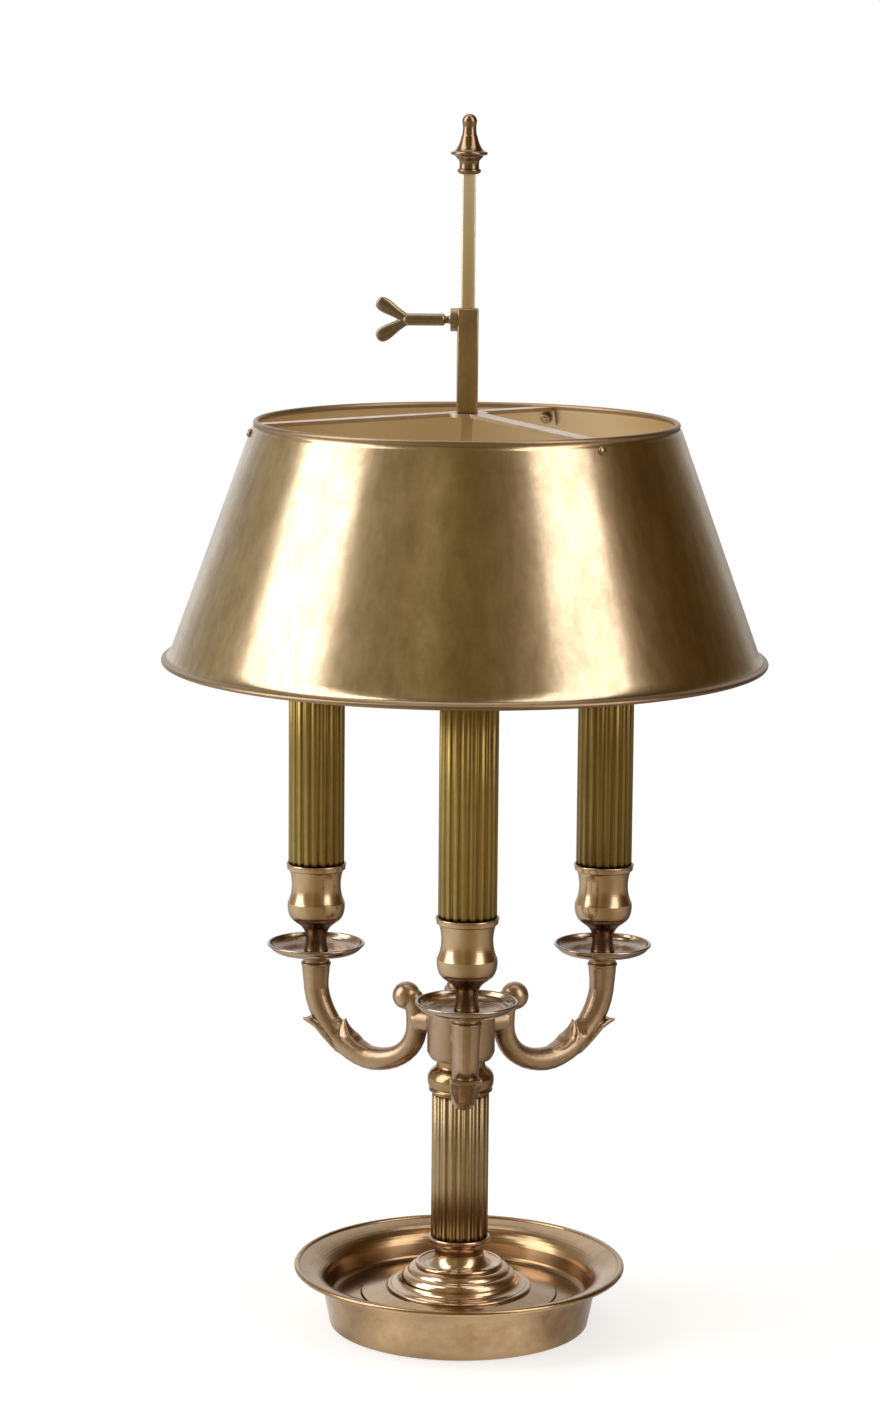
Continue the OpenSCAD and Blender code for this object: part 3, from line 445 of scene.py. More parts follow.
def plastic(name, colour, roughness, metallic=0.0):
    """A plain moulded or plated finish with a fine grain."""
    material = bpy.data.materials.new(name)
    material.use_nodes = True
    tree = material.node_tree
    tree.nodes.clear()
    place = add(tree, "ShaderNodeTexCoord").outputs["Object"]
    grain = add(tree, "ShaderNodeTexNoise", inputs={"Vector": place, "Scale": GRAIN_SCALE, "Detail": 3.0})
    tone = mix_colours(tree, math_node(tree, "MULTIPLY", grain.outputs["Fac"], 0.5),
                       (*colour, 1), (*[GRAIN_DARKER * part for part in colour], 1))
    bump = add(tree, "ShaderNodeBump", inputs={"Height": grain.outputs["Fac"], "Strength": 0.3,
                                               "Distance": GRAIN_DEPTH})
    shader = add(tree, "ShaderNodeBsdfPrincipled",
                 inputs={"Base Color": tone, "Roughness": roughness, "Metallic": metallic,
                         "Normal": bump.outputs["Normal"]})
    add(tree, "ShaderNodeOutputMaterial", inputs={"Surface": shader.outputs["BSDF"]})
    return material


# %% [markdown]
# The shade is brushed sheet, polished outside and left matt inside, where it has to spread the
# light of the bulbs. So its recipe gets one more step: where a face looks toward the lamp's axis, it
# is paler and much rougher. The rolled edges keep their brown bath, because the polishing wheel slips
# over them. Streaks that run down the cone tell of the hand that rubbed it.

# %% The shade's finish
# Where the bath begins and where it is full: above the lower edge, and below the upper edge
LOWER_ROLL = (4.5 * MM, 3.0 * MM)
UPPER_ROLL = (3.6 * MM, 3.0 * MM)
ROLL_TONE, ROLL_SHARE, ROLL_ROUGHNESS = (0.26, 0.17, 0.095, 1), 0.8, 0.34
INSIDE_TONE, INSIDE_ROUGHNESS = (0.80, 0.62, 0.39, 1), 0.45
INSIDE_FROM, INSIDE_FULL = -0.1, -0.5
STREAK_STRETCH, STREAK_TONE = (150.0, 150.0, 5.0), (0.80, 0.78, 0.74)
STREAK_DARK, STREAK_CLEAR = 0.30, 0.62

shade_brass, skin, shader = metal(
    "shade_brass", (0.66, 0.538, 0.388), (0.40, 0.312, 0.19), 0.16, clouds=0.75, recess=0.9,
    reach=0.004, depth=0.006, dents=(30.0, 0.14))
tree = shade_brass.node_tree
spot = add(tree, "ShaderNodeTexCoord")
outward = add(tree, "ShaderNodeVectorMath", operation="MULTIPLY",
              inputs={0: spot.outputs["Object"], 1: (1.0, 1.0, 0.0)}).outputs["Vector"]
outward = add(tree, "ShaderNodeVectorMath", operation="NORMALIZE", inputs={0: outward}).outputs["Vector"]
facing = add(tree, "ShaderNodeVectorMath", operation="DOT_PRODUCT",
             inputs={0: spot.outputs["Normal"], 1: outward}).outputs["Value"]
inside = rises(tree, facing, INSIDE_FROM, INSIDE_FULL)

shade_low, shade_high = (corner[2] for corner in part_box("shade"))
upright = add(tree, "ShaderNodeSeparateXYZ", inputs={0: spot.outputs["Object"]}).outputs["Z"]
roll = math_node(tree, "MAXIMUM",
                 rises(tree, upright, *(shade_low + height for height in LOWER_ROLL)),
                 rises(tree, upright, *(shade_high - height for height in UPPER_ROLL)))
streak_place = add(tree, "ShaderNodeVectorMath", operation="MULTIPLY",
                   inputs={0: spot.outputs["Object"], 1: STREAK_STRETCH}).outputs["Vector"]
streaks = add(tree, "ShaderNodeTexNoise", inputs={"Vector": streak_place, "Scale": 1.0, "Detail": 4.0,
                                                  "Roughness": 0.6}).outputs["Fac"]
streaks = ramp(tree, streaks, [(STREAK_DARK, STREAK_TONE), (STREAK_CLEAR, (1.0, 1.0, 1.0))])
rubbed = mix_colours(tree, 1.0, skin.outputs["Color"], streaks, blend="MULTIPLY")
rubbed = mix_colours(tree, inside, rubbed, INSIDE_TONE)
rubbed = mix_colours(tree, math_node(tree, "MULTIPLY", roll, ROLL_SHARE), rubbed, ROLL_TONE)
fill(tree, shader.inputs["Base Color"], rubbed)
matt = math_node(tree, "MAXIMUM", math_node(tree, "MULTIPLY", inside, INSIDE_ROUGHNESS),
                 math_node(tree, "MULTIPLY", roll, ROLL_ROUGHNESS))
fill(tree, shader.inputs["Roughness"], math_node(tree, "MAXIMUM", skin.outputs["Roughness"], matt))
print("shade finish with", len(tree.nodes), "nodes")

# %% [markdown]
# The square rod is the brightest brass of the lamp, because the sleeve has polished it. Toward the
# sleeve its tone turns darker and more golden, so it goes by height.

# %% The rod's finish
UPRIGHT = (900.0, 900.0, 6.0)
ROD_GOLDEN, ROD_PALE = (0.76, 0.62, 0.38), (1.0, 0.94, 0.84)
GOLDEN_BELOW, PALE_ABOVE = 0.552, 0.625

rod_brass, skin, _ = metal("rod_brass", ROD_PALE, (0.66, 0.51, 0.31), 0.36, clouds=0.3, stretch=UPRIGHT)
tree = rod_brass.node_tree
spot = add(tree, "ShaderNodeTexCoord").outputs["Object"]
upright = add(tree, "ShaderNodeSeparateXYZ", inputs={0: spot}).outputs["Z"]
polished = mix_colours(tree, rises(tree, upright, GOLDEN_BELOW, PALE_ABOVE),
                       (*ROD_GOLDEN, 1), (*ROD_PALE, 1))
fill(tree, skin.inputs["Polished"], polished)
print("rod finish with", len(tree.nodes), "nodes")

# %% [markdown]
# One finish serves each material slot of the lamp. But a lamp is handled unevenly, and no two of its
# castings come out of the bath alike. In the photograph the column, the cups, the foot and the ring
# are rubbed paler, and the tray a little. The finial and the clamp screw stayed darker, the drip pans
# are polished, and the spider under the shade's top is almost bare. The right candle tube is darker
# all round: painted shade, for the shadow that the front tube casts on it. These pieces get a finish
# of their own.

# %% The other finishes
# Each brass has its polished tone, its tone for tarnish and painted shade, and its roughness where it is
# polished
FINISHES = {
    "base_brass": brass("base_brass", (0.47, 0.325, 0.19), (0.20, 0.11, 0.04), 0.17, clouds=0.7,
                        reach=0.008),
    "fluted_brass": brass("fluted_brass", (0.41, 0.30, 0.10), (0.055, 0.022, 0.005), 0.30,
                          reach=0.002, recess=2.4, depth=0.004, stretch=UPRIGHT),
    # The reach of 12 mm darkens the undersides of the arms near the hub: painted shade.
    "bronze": brass("bronze", (0.50, 0.36, 0.255), (0.11, 0.06, 0.03), 0.31, clouds=0.35,
                    recess=0.9, reach=0.012, depth=0.002, dents=(50.0, 0.04)),
    "rod_brass": rod_brass,
    "shade_brass": shade_brass,
    "clamp_brass": brass("clamp_brass", (0.48, 0.36, 0.21), (0.14, 0.085, 0.04), 0.28, clouds=0.5),
    "zinc_steel": plastic("zinc_steel", (0.55, 0.55, 0.52), 0.4, metallic=1.0),
    "iron": plastic("iron", (0.05, 0.05, 0.055), 0.6),
    "felt": plastic("felt", (0.04, 0.07, 0.04), 0.95),
    "bush": plastic("bush", (0.03, 0.03, 0.03), 0.45),
    "holder": plastic("holder", (0.80, 0.76, 0.66), 0.4),
    "bulb_glass": plastic("bulb_glass", (0.90, 0.88, 0.82), 0.2),
}
# By how the node's name starts; where two fit, the later one counts
OWN_FINISHES = {
    "column": brass("column_brass", (0.50, 0.385, 0.235), (0.055, 0.026, 0.009), 0.28,
                    reach=0.0025, recess=2.4, depth=0.004, stretch=UPRIGHT),
    "finial": brass("finial_brass", (0.31, 0.21, 0.135), (0.06, 0.03, 0.015), 0.18, reach=0.008),
    # The long reach darkens the cup's neck between its bulge and the pan: painted shade.
    "candle_cup": brass("cup_brass", (0.60, 0.44, 0.29), (0.055, 0.018, 0.006), 0.20, clouds=0.2,
                        recess=1.25, reach=0.030, depth=0.004),
    # Darker all round: painted shade for the shadow that the front tube casts on the right tube.
    "candle_tube_right": brass("dark_fluted_brass", (0.31, 0.22, 0.075), (0.05, 0.02, 0.005), 0.30,
                               reach=0.002, recess=2.4, depth=0.004, stretch=UPRIGHT),
    "drip_pan": brass("pan_brass", (0.46, 0.36, 0.29), (0.09, 0.05, 0.025), 0.16, clouds=0.15,
                      recess=0.9, reach=0.008, depth=0.002, dents=(60.0, 0.008)),
    "base_tray": brass("tray_brass", (0.50, 0.345, 0.20), (0.12, 0.052, 0.018), 0.17, clouds=0.4,
                       recess=1.2, reach=0.022, depth=0.004),
    "turned_foot": brass("foot_brass", (0.64, 0.47, 0.33), (0.12, 0.06, 0.025), 0.14, clouds=0.3,
                         reach=0.006, depth=0.004),
    "column_ring": brass("ring_brass", (0.60, 0.45, 0.31), (0.12, 0.06, 0.025), 0.16, clouds=0.3),
    "thumb_screw": brass("screw_brass", (0.36, 0.28, 0.20), (0.11, 0.075, 0.045), 0.26, clouds=0.5),
    "spider": brass("spider_brass", (0.80, 0.64, 0.50), (0.30, 0.20, 0.13), 0.34, clouds=0.6),
}

for part in frame["record"]["subparts"]:
    node = frame["nodes"][part["node"]]
    own = [finish for name, finish in OWN_FINISHES.items() if part["node"].startswith(name)]
    node.data.materials.clear()
    node.data.materials.append(own[-1] if own else FINISHES[part["material_slot"]])

# %% [markdown]
# ## Modelling by hand
#
# The pieces below are made as a brass worker would make them: turned and drawn stock is shaped ring
# by ring, edges are broken so that they catch the light, and castings are softened all over. A few
# helpers hold the steps that every piece shares: open it for editing, choose what is worked on by
# its place, and settle the finished piece on its body.

# %% Modelling helpers
NEAR = 0.01 * MM
WELD = 0.002 * MM


def select_only(piece):
    """Selects one object and makes it the active one."""
    bpy.ops.object.select_all(action="DESELECT")
    piece.select_set(True)
    bpy.context.view_layer.objects.active = piece


def choose(piece, kind, test):
    """In edit mode, selects just the verts, edges or faces that pass a test."""
    bpy.ops.mesh.select_mode(type={"verts": "VERT", "edges": "EDGE", "faces": "FACE"}[kind])
    bpy.ops.mesh.select_all(action="DESELECT")
    mesh = bmesh.from_edit_mesh(piece.data)
    for item in getattr(mesh, kind):
        if test(item):
            item.select_set(True)
    mesh.select_flush_mode()
    bmesh.update_edit_mesh(piece.data)


def edit(piece):
    """Opens a piece for editing with all of it selected."""
    select_only(piece)
    bpy.ops.object.mode_set(mode="EDIT")
    bpy.ops.mesh.select_all(action="SELECT")


def done():
    """Closes the piece again."""
    bpy.ops.object.mode_set(mode="OBJECT")


def join(piece, other):
    """Joins another piece into this one."""
    select_only(other)
    piece.select_set(True)
    bpy.context.view_layer.objects.active = piece
    bpy.ops.object.join()


def copy_of(piece):
    """A copy of a piece, in the same place."""
    select_only(piece)
    bpy.ops.object.duplicate()
    return bpy.context.object


def put(piece, matrix):
    """Moves a piece by a matrix and writes the move into its mesh."""
    select_only(piece)
    piece.matrix_world = matrix
    bpy.ops.object.transform_apply(location=True, rotation=True, scale=True)


def press(piece, kind, **settings):
    """Adds a modifier with settings and applies it."""
    select_only(piece)
    bpy.ops.object.modifier_add(type=kind)
    modifier = piece.modifiers[-1]
    for name, value in settings.items():
        setattr(modifier, name, value)
    bpy.ops.object.modifier_apply(modifier=modifier.name)


def settle(piece, body, slot, *nodes, angle=35, finish=None):
    """Cleans a finished piece, gives it its finish, puts it on its body and hides the nodes it stands for.
    """
    edit(piece)
    bpy.ops.mesh.remove_doubles(threshold=WELD)
    bpy.ops.mesh.normals_make_consistent(inside=False)
    done()
    select_only(piece)
    bpy.ops.object.shade_smooth_by_angle(angle=math.radians(angle))
    piece.data.materials.clear()
    piece.data.materials.append(finish or FINISHES[slot])
    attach(piece, body)
    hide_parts(*nodes)
    print(piece.name, len(piece.data.polygons), "faces")


# %% [markdown]
# A turned piece starts as a round blank. Its face is drawn out to the next height and turned down
# or up to the next radius, again and again. A drawn bar is the same with a square blank.

# %% Turned and drawn stock


def grow(rings):
    """Extrudes what is selected through rings of (height, width along X, width along Y)."""
    for (low, wide, deep), (high, new_wide, new_deep) in zip(rings, rings[1:]):
        bpy.ops.mesh.extrude_region_move(TRANSFORM_OT_translate={"value": (0, 0, (high - low) * MM)})
        bpy.ops.transform.resize(value=(new_wide / wide, new_deep / deep, 1),
                                 center_override=(0, 0, high * MM))


def draw_out(name, rings):
    """Draws the new blank's face out from ring to ring."""
    piece = bpy.context.object
    piece.name = name
    select_only(piece)
    bpy.ops.object.transform_apply(location=True, rotation=True, scale=True)
    edit(piece)
    bpy.ops.mesh.select_mode(type="FACE")
    bpy.ops.mesh.select_all(action="SELECT")
    grow(rings)
    done()
    return piece


def turned(name, sides, rings):
    """A round piece along +Z through rings of (height, radius) in millimetres."""
    height, radius = rings[0]
    bpy.ops.object.select_all(action="DESELECT")
    bpy.ops.mesh.primitive_circle_add(vertices=sides, radius=radius * MM, fill_type="NGON",
                                      location=(0, 0, height * MM))
    return draw_out(name, [(height, radius, radius) for height, radius in rings])


def drawn(name, rings):
    """A square piece along +Z through rings of (height, width along X, width along Y)."""
    height, wide, deep = rings[0]
    bpy.ops.object.select_all(action="DESELECT")
    bpy.ops.mesh.primitive_plane_add(size=MM, location=(0, 0, height * MM))
    bpy.context.object.scale = (wide, deep, 1)
    return draw_out(name, rings)


def break_edges(piece, test, width):
    """Bevels the edges that pass a test."""
    edit(piece)
    choose(piece, "edges", test)
    bpy.ops.mesh.bevel(offset=width * MM, offset_type="OFFSET", segments=3, profile=0.5)
    done()


def is_corner(edge, half):
    """True for an upright edge at the corner of a square bar of that half width."""
    a, b = (vert.co for vert in edge.verts)
    return all(abs(abs(c) - half * MM) < NEAR for c in (a.x, a.y, b.x, b.y)) and abs(a.z - b.z) > MM


# %% [markdown]
# ## The spun shade
#
# The shade is brass sheet, 1 mm thick, spun over a cone. Both edges are rolled over a wire, which
# makes them stiff and kind to the fingers, and the lower edge flares out just before its roll. A
# spinner works the metal ring by ring along one line, and so does this cell: round the lower roll,
# up the outside, round the upper roll and down the inside, until the last ring meets the first.

# %% Spin the shade
CONE_TOP, CONE_SLOPE = 111.35, 0.3617
# The sheet leans, so along a radius it measures a little more than its 1 mm
SHEET_ACROSS = 1.063
LOWER_WIRE, LOWER_WIRE_PLACE = 1.3, 159.2
UPPER_WIRE, UPPER_WIRE_PLACE = 1.5, 110.6


def spun(name, sides, rings):
    """A closed skin of revolution through rings of (height, radius) in millimetres."""
    height, radius = rings[0]
    bpy.ops.object.select_all(action="DESELECT")
    bpy.ops.mesh.primitive_circle_add(vertices=sides, radius=radius * MM, location=(0, 0, height * MM))
    piece = bpy.context.object
    piece.name = name
    select_only(piece)
    bpy.ops.object.transform_apply(location=True, rotation=True, scale=True)
    edit(piece)
    grow([(height, radius, radius) for height, radius in rings])
    choose(piece, "edges", lambda edge: edge.is_boundary)
    bpy.ops.mesh.bridge_edge_loops()
    done()
    return piece


def rolled(height, radius, wire, start, end, steps=12):
    """Rings round a wire, between two angles that are measured from its outer side upward."""
    angles = [math.radians(start + (end - start) * number / steps) for number in range(steps + 1)]
    return [(height + wire * math.sin(a), radius + wire * math.cos(a)) for a in angles]


def cone(height, inward=0.0):
    """The ring of the cone at a height, or that much further inward."""
    return (height, CONE_TOP + CONE_SLOPE * (shade_high / MM - height) - inward)


# Rings are heights and radii; near an edge, the height is counted from that edge
low, high = shade_low / MM, shade_high / MM
outside = [(low + 3.3, 157.75), (low + 4.2, 156.80), (low + 5.6, 155.90), cone(low + 7.6)]
outside += [cone(height) for height in (low + 8.4, 400, 430, 460, high - 5.2, high - 4.4)]
outside += [(high - 3.3, 111.90)]
inner = [(high - 3.4, 111.10)]
inner += [cone(height, SHEET_ACROSS) for height in (high - 5, 460, 430, 400, low + 7)]
inner += [(low + 5.0, 154.95), (low + 3.6, 155.90), (low + 2.6, 157.10)]
lower_roll = rolled(low + LOWER_WIRE, LOWER_WIRE_PLACE, LOWER_WIRE, -170, 100)
upper_roll = rolled(high - UPPER_WIRE, UPPER_WIRE_PLACE, UPPER_WIRE, -30, 205)
shade = spun("shade_sheet", 256, lower_roll + outside + upper_roll + inner)
settle(shade, "shade", "shade_brass", "shade", angle=80)

# %% [markdown]
# ## The square rod and its sleeve
#
# The rod is drawn brass, 7 mm square. Drawn bar never has knife edges: its corners are rounded by
# the die, and in the photograph the left corner is the brightest line of the rod. A thin stub on
# top goes into the finial.

# %% Draw the rod
low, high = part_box("square_rod")
ROD_SIDE = 7.0
ROD_ROUND = 0.7
STUB, STUB_SIDE = 6.0, 3.4
rod_low, rod_high = low[2] / MM, high[2] / MM - STUB
rod = drawn("square_rod_bar", [
    (rod_low, ROD_SIDE, ROD_SIDE), (rod_high, ROD_SIDE, ROD_SIDE),
    (rod_high, STUB_SIDE, STUB_SIDE), (rod_high + STUB, STUB_SIDE, STUB_SIDE),
])
break_edges(rod, lambda edge: is_corner(edge, ROD_SIDE / 2), ROD_ROUND)
settle(rod, "stand", "rod_brass", "square_rod")

# %% [markdown]
# The sleeve is a short square tube round the rod. It is drawn as a solid bar with broken ends, and
# the bore is opened by insetting both end faces and bridging them through the bar.

# %% Draw the sleeve
low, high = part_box("sleeve")
SLEEVE_SIDE = 11.0
SLEEVE_ROUND = 0.9
BORE_SIDE = 7.3
END_BREAK = 0.5
sleeve_low, sleeve_high = low[2] / MM, high[2] / MM
end_side = SLEEVE_SIDE - 2 * END_BREAK
sleeve = drawn("sleeve_tube", [
    (sleeve_low, end_side, end_side), (sleeve_low + END_BREAK, SLEEVE_SIDE, SLEEVE_SIDE),
    (sleeve_high - END_BREAK, SLEEVE_SIDE, SLEEVE_SIDE), (sleeve_high, end_side, end_side),
])
break_edges(sleeve, lambda edge: is_corner(edge, SLEEVE_SIDE / 2), SLEEVE_ROUND)
edit(sleeve)
choose(sleeve, "faces", lambda face: abs(face.normal.z) > 0.99)
bpy.ops.mesh.inset(thickness=(end_side - BORE_SIDE) / 2 * MM)
bpy.ops.mesh.bridge_edge_loops()
done()
settle(sleeve, "shade", "clamp_brass", "sleeve")

# %% [markdown]
# ## The clamp screw
#
# Its handle is a round shank that ends in two wings like a fork. On the real lamp it is one small
# casting, soft all over, with wings that are thin where the fingers press and full at the tips. The
# shank is turned, one wing is drawn from a square blank and rounded by subdivision, and the mirror
# gives the other. Then all three are fused on a fine grid and smoothed, as filing would do.

# %% Cast the clamp screw
SCREW_HEIGHT = 543.5
FORK_START = 31.6
WING_LEAN = math.radians(31.9)
SCREW_GRAIN = 0.25

screw = turned("clamp_screw_handle", 40, [
    (3.8, 1.9), (4.3, 2.4), (9.4, 2.4), (9.7, 2.0), (12.0, 2.0), (12.1, 2.6), (12.5, 3.0), (13.4, 3.2),
    (FORK_START, 3.2), (FORK_START + 1.4, 2.9), (FORK_START + 2.4, 1.8),
])
wing = drawn("wing", [
    (-2.0, 5.6, 5.4), (2.5, 5.6, 5.0), (7.0, 6.0, 4.4), (11.5, 8.2, 4.2), (15.5, 8.8, 4.2),
    (18.9, 5.6, 3.4),
])
press(wing, "SUBSURF", levels=3)
put(wing, Matrix.Translation((0, 0, FORK_START * MM)) @ Matrix.Rotation(WING_LEAN, 4, "Y"))
press(wing, "MIRROR", use_axis=(True, False, False), use_clip=False, use_mirror_merge=False)
join(screw, wing)
put(screw, Matrix.Translation((0, 0, SCREW_HEIGHT * MM)) @ Matrix.Rotation(math.radians(-90), 4, "Y"))
press(screw, "REMESH", mode="VOXEL", voxel_size=SCREW_GRAIN * MM)
press(screw, "SMOOTH", factor=0.6, iterations=6)
settle(screw, "thumb_screw", "clamp_brass", "thumb_screw", angle=180,
       finish=OWN_FINISHES["thumb_screw"])

# %% [markdown]
# ## Screws on the shade's rim
#
# Three slotted screws with small hexagon nuts hold the spider in the shade. One set is made: the
# head is turned, the slot is marked by two bisections and pressed flat on its floor, and the nut is
# a six-sided blank with its corners turned off. The set is copied to the three places, each time
# turned a little differently, as screws are when they are tight.

# %% Turn the rim screws
RIM_SCREW_TURNS = (65, 185, 305)
RIM_SCREW_RADIUS = 113.70
RIM_SCREW_HEIGHT = 484.5
CONE_LEAN = 19.886
SLOT_WIDTH, SLOT_FLOOR = 0.8, 0.9
HEAD_FACE_ABOVE = 0.7
SLOT_FIRST, SLOT_EACH = 40, 55

one = turned("rim_screw", 40, [
    (-6.3, 1.3), (-6.0, 1.5), (0.1, 1.5), (0.1, 2.3), (0.3, 2.4), (0.8, 2.3), (1.2, 2.0), (1.5, 1.5),
    (1.7, 0.9), (1.75, 0.4),
])
edit(one)
for side in (-1, 1):
    bpy.ops.mesh.select_all(action="SELECT")
    bpy.ops.mesh.bisect(plane_co=(0, side * SLOT_WIDTH / 2 * MM, 0), plane_no=(0, 1, 0))
choose(one, "faces", lambda face: abs(face.calc_center_median().y) < SLOT_WIDTH / 2 * MM
       and face.calc_center_median().z > HEAD_FACE_ABOVE * MM)
bpy.ops.mesh.extrude_region_move()
bpy.ops.transform.resize(value=(1, 1, 0), center_override=(0, 0, SLOT_FLOOR * MM))
done()
nut = turned("nut", 6, [(-5.7, 2.85), (-5.4, 3.17), (-3.6, 3.17), (-3.3, 2.85)])
join(one, nut)
for number, turn in enumerate(RIM_SCREW_TURNS):
    screw = copy_of(one) if number < len(RIM_SCREW_TURNS) - 1 else one
    screw.name = "rim_screw_%d" % (number + 1)
    put(screw, Matrix.Rotation(math.radians(turn), 4, "Z")
        @ Matrix.Translation((RIM_SCREW_RADIUS * MM, 0, RIM_SCREW_HEIGHT * MM))
        @ Matrix.Rotation(math.radians(90 - CONE_LEAN), 4, "Y")
        @ Matrix.Rotation(math.radians(SLOT_FIRST + SLOT_EACH * number), 4, "Z"))
    settle(screw, "shade", "clamp_brass", "shade_screws")

# %% [markdown]
# ## Fluted tubes
#
# The column and the candle covers are brass tubes with twenty hollows pressed into them. Between
# the hollows the metal stands as narrow ridges whose tops are rubbed bright. A circle of 240 points
# is the blank: in each of the twenty groups the middle points are drawn in to the hollow's depth.
# The ring is then extruded up with broken ends, and the bore is bridged in.

# %% Press the fluted tubes
FLUTES = 20
POINTS = 12
FLUTE_DEEP = 0.8
FLUTE_SOFT = 0.25
TUBE_BREAK = 0.35


def hollow(radius, flute_radius, angle):
    """Distance from the axis to a fluted tube's skin, at an angle from the middle of a flute."""
    middle = radius + flute_radius - FLUTE_DEEP
    across = middle * math.sin(angle)
    skin = radius
    if abs(across) < flute_radius:
        skin = min(radius, middle * math.cos(angle) - math.sqrt(flute_radius ** 2 - across ** 2))
    return skin


def press_flutes(piece, radius, flute_radius):
    """In edit mode, draws the points of a round blank in to the depth of its flutes.

    Each point also goes a share of the way to its inner neighbour, which softens the ridges."""
    each = 2 * math.pi / (FLUTES * POINTS)
    for number in range(-POINTS // 2, POINTS // 2 + 1):
        skin = hollow(radius, flute_radius, number * each)
        inner = hollow(radius, flute_radius, (abs(number) - 1) * each) if number else skin
        skin = (1 - FLUTE_SOFT) * skin + FLUTE_SOFT * inner
        if skin == radius:
            continue

        def in_place(vert):
            along = math.atan2(vert.co.y, vert.co.x) / each
            return round(along) % POINTS == number % POINTS
        choose(piece, "verts", in_place)
        bpy.ops.transform.resize(value=(skin / radius, skin / radius, 1), center_override=(0, 0, 0))
    bpy.ops.mesh.select_all(action="SELECT")


def fluted(name, middle, radius, bore, low, high, flute_radius, turn):
    """A fluted tube; turn is where the middle of a flute is, in degrees from +X."""
    sides = FLUTES * POINTS
    bpy.ops.object.select_all(action="DESELECT")
    bpy.ops.mesh.primitive_circle_add(vertices=sides, radius=radius * MM)
    piece = bpy.context.object
    piece.name = name
    edit(piece)
    press_flutes(piece, radius, flute_radius)
    shrink = (radius - TUBE_BREAK) / radius
    bpy.ops.transform.resize(value=(shrink, shrink, 1), center_override=(0, 0, 0))
    for rise, factor in ((TUBE_BREAK, 1 / shrink), (high - low - 2 * TUBE_BREAK, 1), (TUBE_BREAK, shrink)):
        bpy.ops.mesh.extrude_region_move(TRANSFORM_OT_translate={"value": (0, 0, rise * MM)})
        bpy.ops.transform.resize(value=(factor, factor, 1), center_override=(0, 0, 0))
    done()
    for height in (0, high - low):
        bpy.ops.object.select_all(action="DESELECT")
        bpy.ops.mesh.primitive_circle_add(vertices=sides, radius=bore * MM, location=(0, 0, height * MM))
        join(piece, bpy.context.object)
    top = (high - low) * MM
    tests = [
        lambda edge: all(abs(v.co.z) < NEAR for v in edge.verts),
        lambda edge: all(abs(v.co.z - top) < NEAR for v in edge.verts),
        lambda edge: all(abs(v.co.xy.length - bore * MM) < NEAR for v in edge.verts),
    ]
    edit(piece)
    for test in tests:
        choose(piece, "edges", test)
        bpy.ops.mesh.bridge_edge_loops()
    done()
    put(piece, Matrix.Translation((middle[0] * MM, middle[1] * MM, low * MM))
        @ Matrix.Rotation(math.radians(turn), 4, "Z"))
    return piece


# %% [markdown]
# Three tubes cover the lampholders on the arms, and a fourth with wider flutes is the column. Each
# candle tube is turned with its arm, and the column has a ridge in front.

# %% Stand the tubes and the column
ARM_REACH = 90.6
ARM_TURNS = {"left": 150, "right": 30, "front": -90}
TUBE_RADIUS, TUBE_BORE, TUBE_FLUTE = 15.2, 13.3, 1.2
COLUMN_RADIUS, COLUMN_BORE, COLUMN_FLUTE = 15.4, 12.6, 1.8

for side, turn in ARM_TURNS.items():
    node = "candle_tube_" + side
    low, high = (corner[2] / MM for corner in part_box(node))
    place = (ARM_REACH * math.cos(math.radians(turn)), ARM_REACH * math.sin(math.radians(turn)))
    tube = fluted("fluted_tube_" + side, place, TUBE_RADIUS, TUBE_BORE, low, high, TUBE_FLUTE, turn)
    settle(tube, "stand", "fluted_brass", node, angle=50, finish=OWN_FINISHES.get(node))
low, high = (corner[2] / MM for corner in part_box("column"))
column = fluted("fluted_column", (0, 0), COLUMN_RADIUS, COLUMN_BORE, low, high, COLUMN_FLUTE,
                ARM_TURNS["front"] + 180 / FLUTES)
settle(column, "stand", "fluted_brass", "column", angle=50, finish=OWN_FINISHES["column"])

# %% [markdown]
# ## The scroll arms
#
# The arms are sand castings: a scroll that ends in a ball, wrapped where it turns upward in a leaf
# that curls out into a ledge. A casting has no sharp line anywhere. The leaf's outer face is a
# shield with a raised border. It is drawn out as a ribbon along the leaf, and an inset that is sunk
# leaves the border standing.

# %% Draw the leaf's shield
ARM_BOSS_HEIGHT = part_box("arm_front")[1][2] / MM - 29.5
SHIELD_THICK = 1.8
SHIELD_BORDER = 1.4
SHIELD_BEVEL, SHIELD_SUNK = 0.3, 0.9
SHIELD_ROWS = [
    (73.0, -25.2, 5.0), (75.6, -23.6, 9.0), (78.7, -21.1, 12.4), (83.9, -16.6, 15.6),
    (88.2, -12.5, 16.8), (92.1, -9.8, 16.8), (95.4, -7.9, 16.4),
]


def ribbon(name, rows):
    """A strip across X through rows of (distance along -Y, height over the boss, width)."""
    out, rise, wide = rows[0]
    bpy.ops.object.select_all(action="DESELECT")
    bpy.ops.mesh.primitive_plane_add(size=wide * MM)
    piece = bpy.context.object
    piece.name = name
    edit(piece)
    choose(piece, "verts", lambda vert: vert.co.y < 0)
    bpy.ops.mesh.delete(type="VERT")
    bpy.ops.mesh.select_all(action="SELECT")
    bpy.ops.transform.translate(value=(0, -(wide / 2 + out) * MM, (ARM_BOSS_HEIGHT + rise) * MM))
    for (out, rise, wide), (new_out, new_rise, new_wide) in zip(rows, rows[1:]):
        move = (0, -(new_out - out) * MM, (new_rise - rise) * MM)
        bpy.ops.mesh.extrude_region_move(TRANSFORM_OT_translate={"value": move})
        bpy.ops.transform.resize(value=(new_wide / wide, 1, 1), center_override=(0, 0, 0))
    done()
    return piece


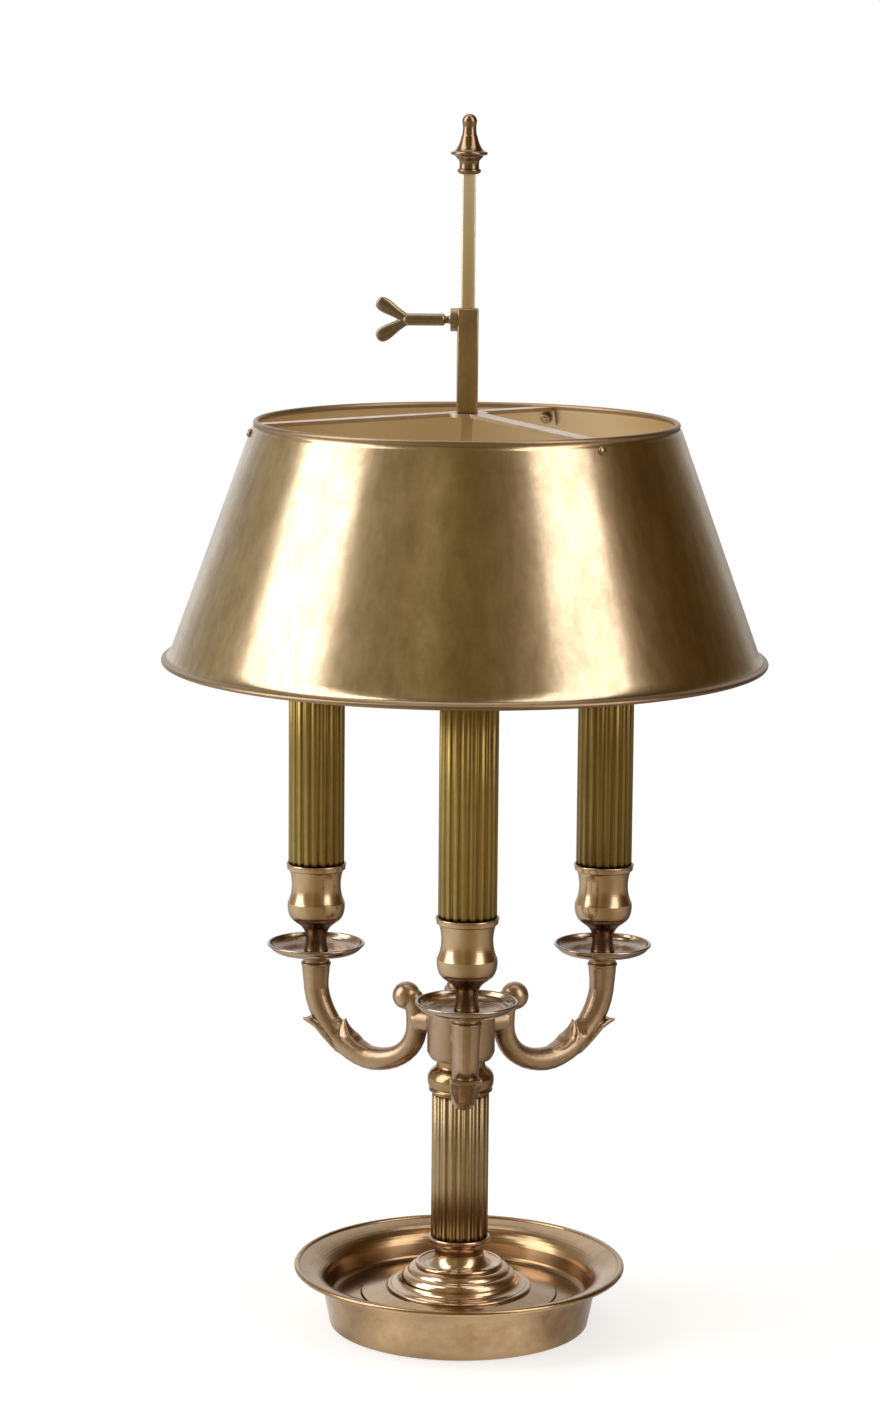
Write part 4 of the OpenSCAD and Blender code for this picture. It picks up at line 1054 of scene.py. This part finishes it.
shield = ribbon("shield", SHIELD_ROWS)
edit(shield)
if bmesh.from_edit_mesh(shield.data).faces[:][0].normal.z > 0:
    bpy.ops.mesh.flip_normals()
bpy.ops.mesh.inset(thickness=SHIELD_BORDER * MM, depth=0)
bpy.ops.mesh.inset(thickness=SHIELD_BEVEL * MM, depth=-SHIELD_SUNK * MM)
done()
press(shield, "SOLIDIFY", thickness=SHIELD_THICK * MM, offset=-1)
print("shield with", len(shield.data.polygons), "faces")

# %% [markdown]
# The front arm's plain solid and the shield are now fused on a fine grid. On such a dense casting a
# form can be changed as in wax, point by point, with soft limits all round. The sides of the outer
# leaf are bent toward the arm, so that it lies round it, and the small leaf on the upper side is
# drawn in to a point. Then all is smoothed, and the casting is copied for the other two arms.

# %% Fuse and shape the front arm
ARM_GRAIN = 0.45
SOLID_WELD = 0.005 * MM
# The outer leaf: where it starts, which way it runs, and how far its sides are bent. What bends lies
# between two places along it and two inward from its face, and grows from its middle line sideways.
LEAF_START, LEAF_ALONG, LEAF_WRAP = SHIELD_ROWS[0][:2], (0.79, 0.61), 3.0
LEAF_FIRST, LEAF_LAST = -1, 31
LEAF_FACE, LEAF_BACK = -4, 6
LEAF_MIDDLE, LEAF_SIDE = 1.5, 8.4
LEAF_FOOT, LEAF_TIP = (0, 5), (40, 20)
# The leaf on the upper side: its middle and half its width, its heights, and how much it is drawn in
POINT_OUT, POINT_HALF, POINT_EDGE = 72.0, 7, (5, 3)
POINT_FOOT, POINT_FULL, POINT_TOP = -14, -6, -3
POINT_DRAWN = 0.75


def partway(value, low, high):
    """How far a value is from low to high: 0 at low, 1 at high and a straight rise between."""
    return min(max((value - low) / (high - low), 0), 1)


def wrap_leaf(vert):
    """Bends the sides of the outer leaf toward the arm."""
    out = -vert.co.y / MM - LEAF_START[0]
    rise = vert.co.z / MM - ARM_BOSS_HEIGHT - LEAF_START[1]
    along = out * LEAF_ALONG[0] + rise * LEAF_ALONG[1]
    inward = rise * LEAF_ALONG[0] - out * LEAF_ALONG[1]
    if LEAF_FIRST < along < LEAF_LAST and LEAF_FACE < inward < LEAF_BACK:
        sideways = partway(abs(vert.co.x) / MM, LEAF_MIDDLE, LEAF_SIDE) ** 2
        ends = partway(along, *LEAF_FOOT) * partway(along, *LEAF_TIP)
        wrap = LEAF_WRAP * sideways * partway(inward, LEAF_BACK, LEAF_BACK / 2) * ends
        vert.co.y += wrap * LEAF_ALONG[1] * MM
        vert.co.z += wrap * LEAF_ALONG[0] * MM


def point_leaf(vert):
    """Draws the leaf on the upper side in toward its middle, more and more up to the tip."""
    out = -vert.co.y / MM
    rise = vert.co.z / MM - ARM_BOSS_HEIGHT
    if POINT_FOOT < rise < POINT_TOP and abs(out - POINT_OUT) < POINT_HALF:
        drawn_in = POINT_DRAWN * partway(rise, POINT_FOOT, POINT_FULL)
        drawn_in *= partway(out, *(POINT_OUT + edge for edge in POINT_EDGE))
        vert.co.x *= 1 - drawn_in
        vert.co.y -= drawn_in * (POINT_OUT - out) * MM


arm = copy_of(frame["nodes"]["arm_front"])
arm.name = "arm_casting_front"
if arm.parent:
    bpy.ops.object.parent_clear(type="CLEAR_KEEP_TRANSFORM")
edit(arm)
bpy.ops.mesh.remove_doubles(threshold=SOLID_WELD)
done()
join(arm, shield)
press(arm, "REMESH", mode="VOXEL", voxel_size=ARM_GRAIN * MM)
for vert in arm.data.vertices:
    wrap_leaf(vert)
    point_leaf(vert)
press(arm, "SMOOTH", factor=0.5, iterations=3)
for side, turn in ARM_TURNS.items():
    casting = arm if side == "front" else copy_of(arm)
    casting.name = "arm_casting_" + side
    put(casting, Matrix.Rotation(math.radians(turn - ARM_TURNS["front"]), 4, "Z"))
    settle(casting, "stand", "bronze", "arm_" + side, angle=180)

# %% [markdown]
# ## The print
#
# The photograph is plain studio work, so the tones of the render are shown just as they are.

# %% Colours of the print
bpy.context.scene.view_settings.view_transform = "Standard"
bpy.context.scene.view_settings.look = "None"
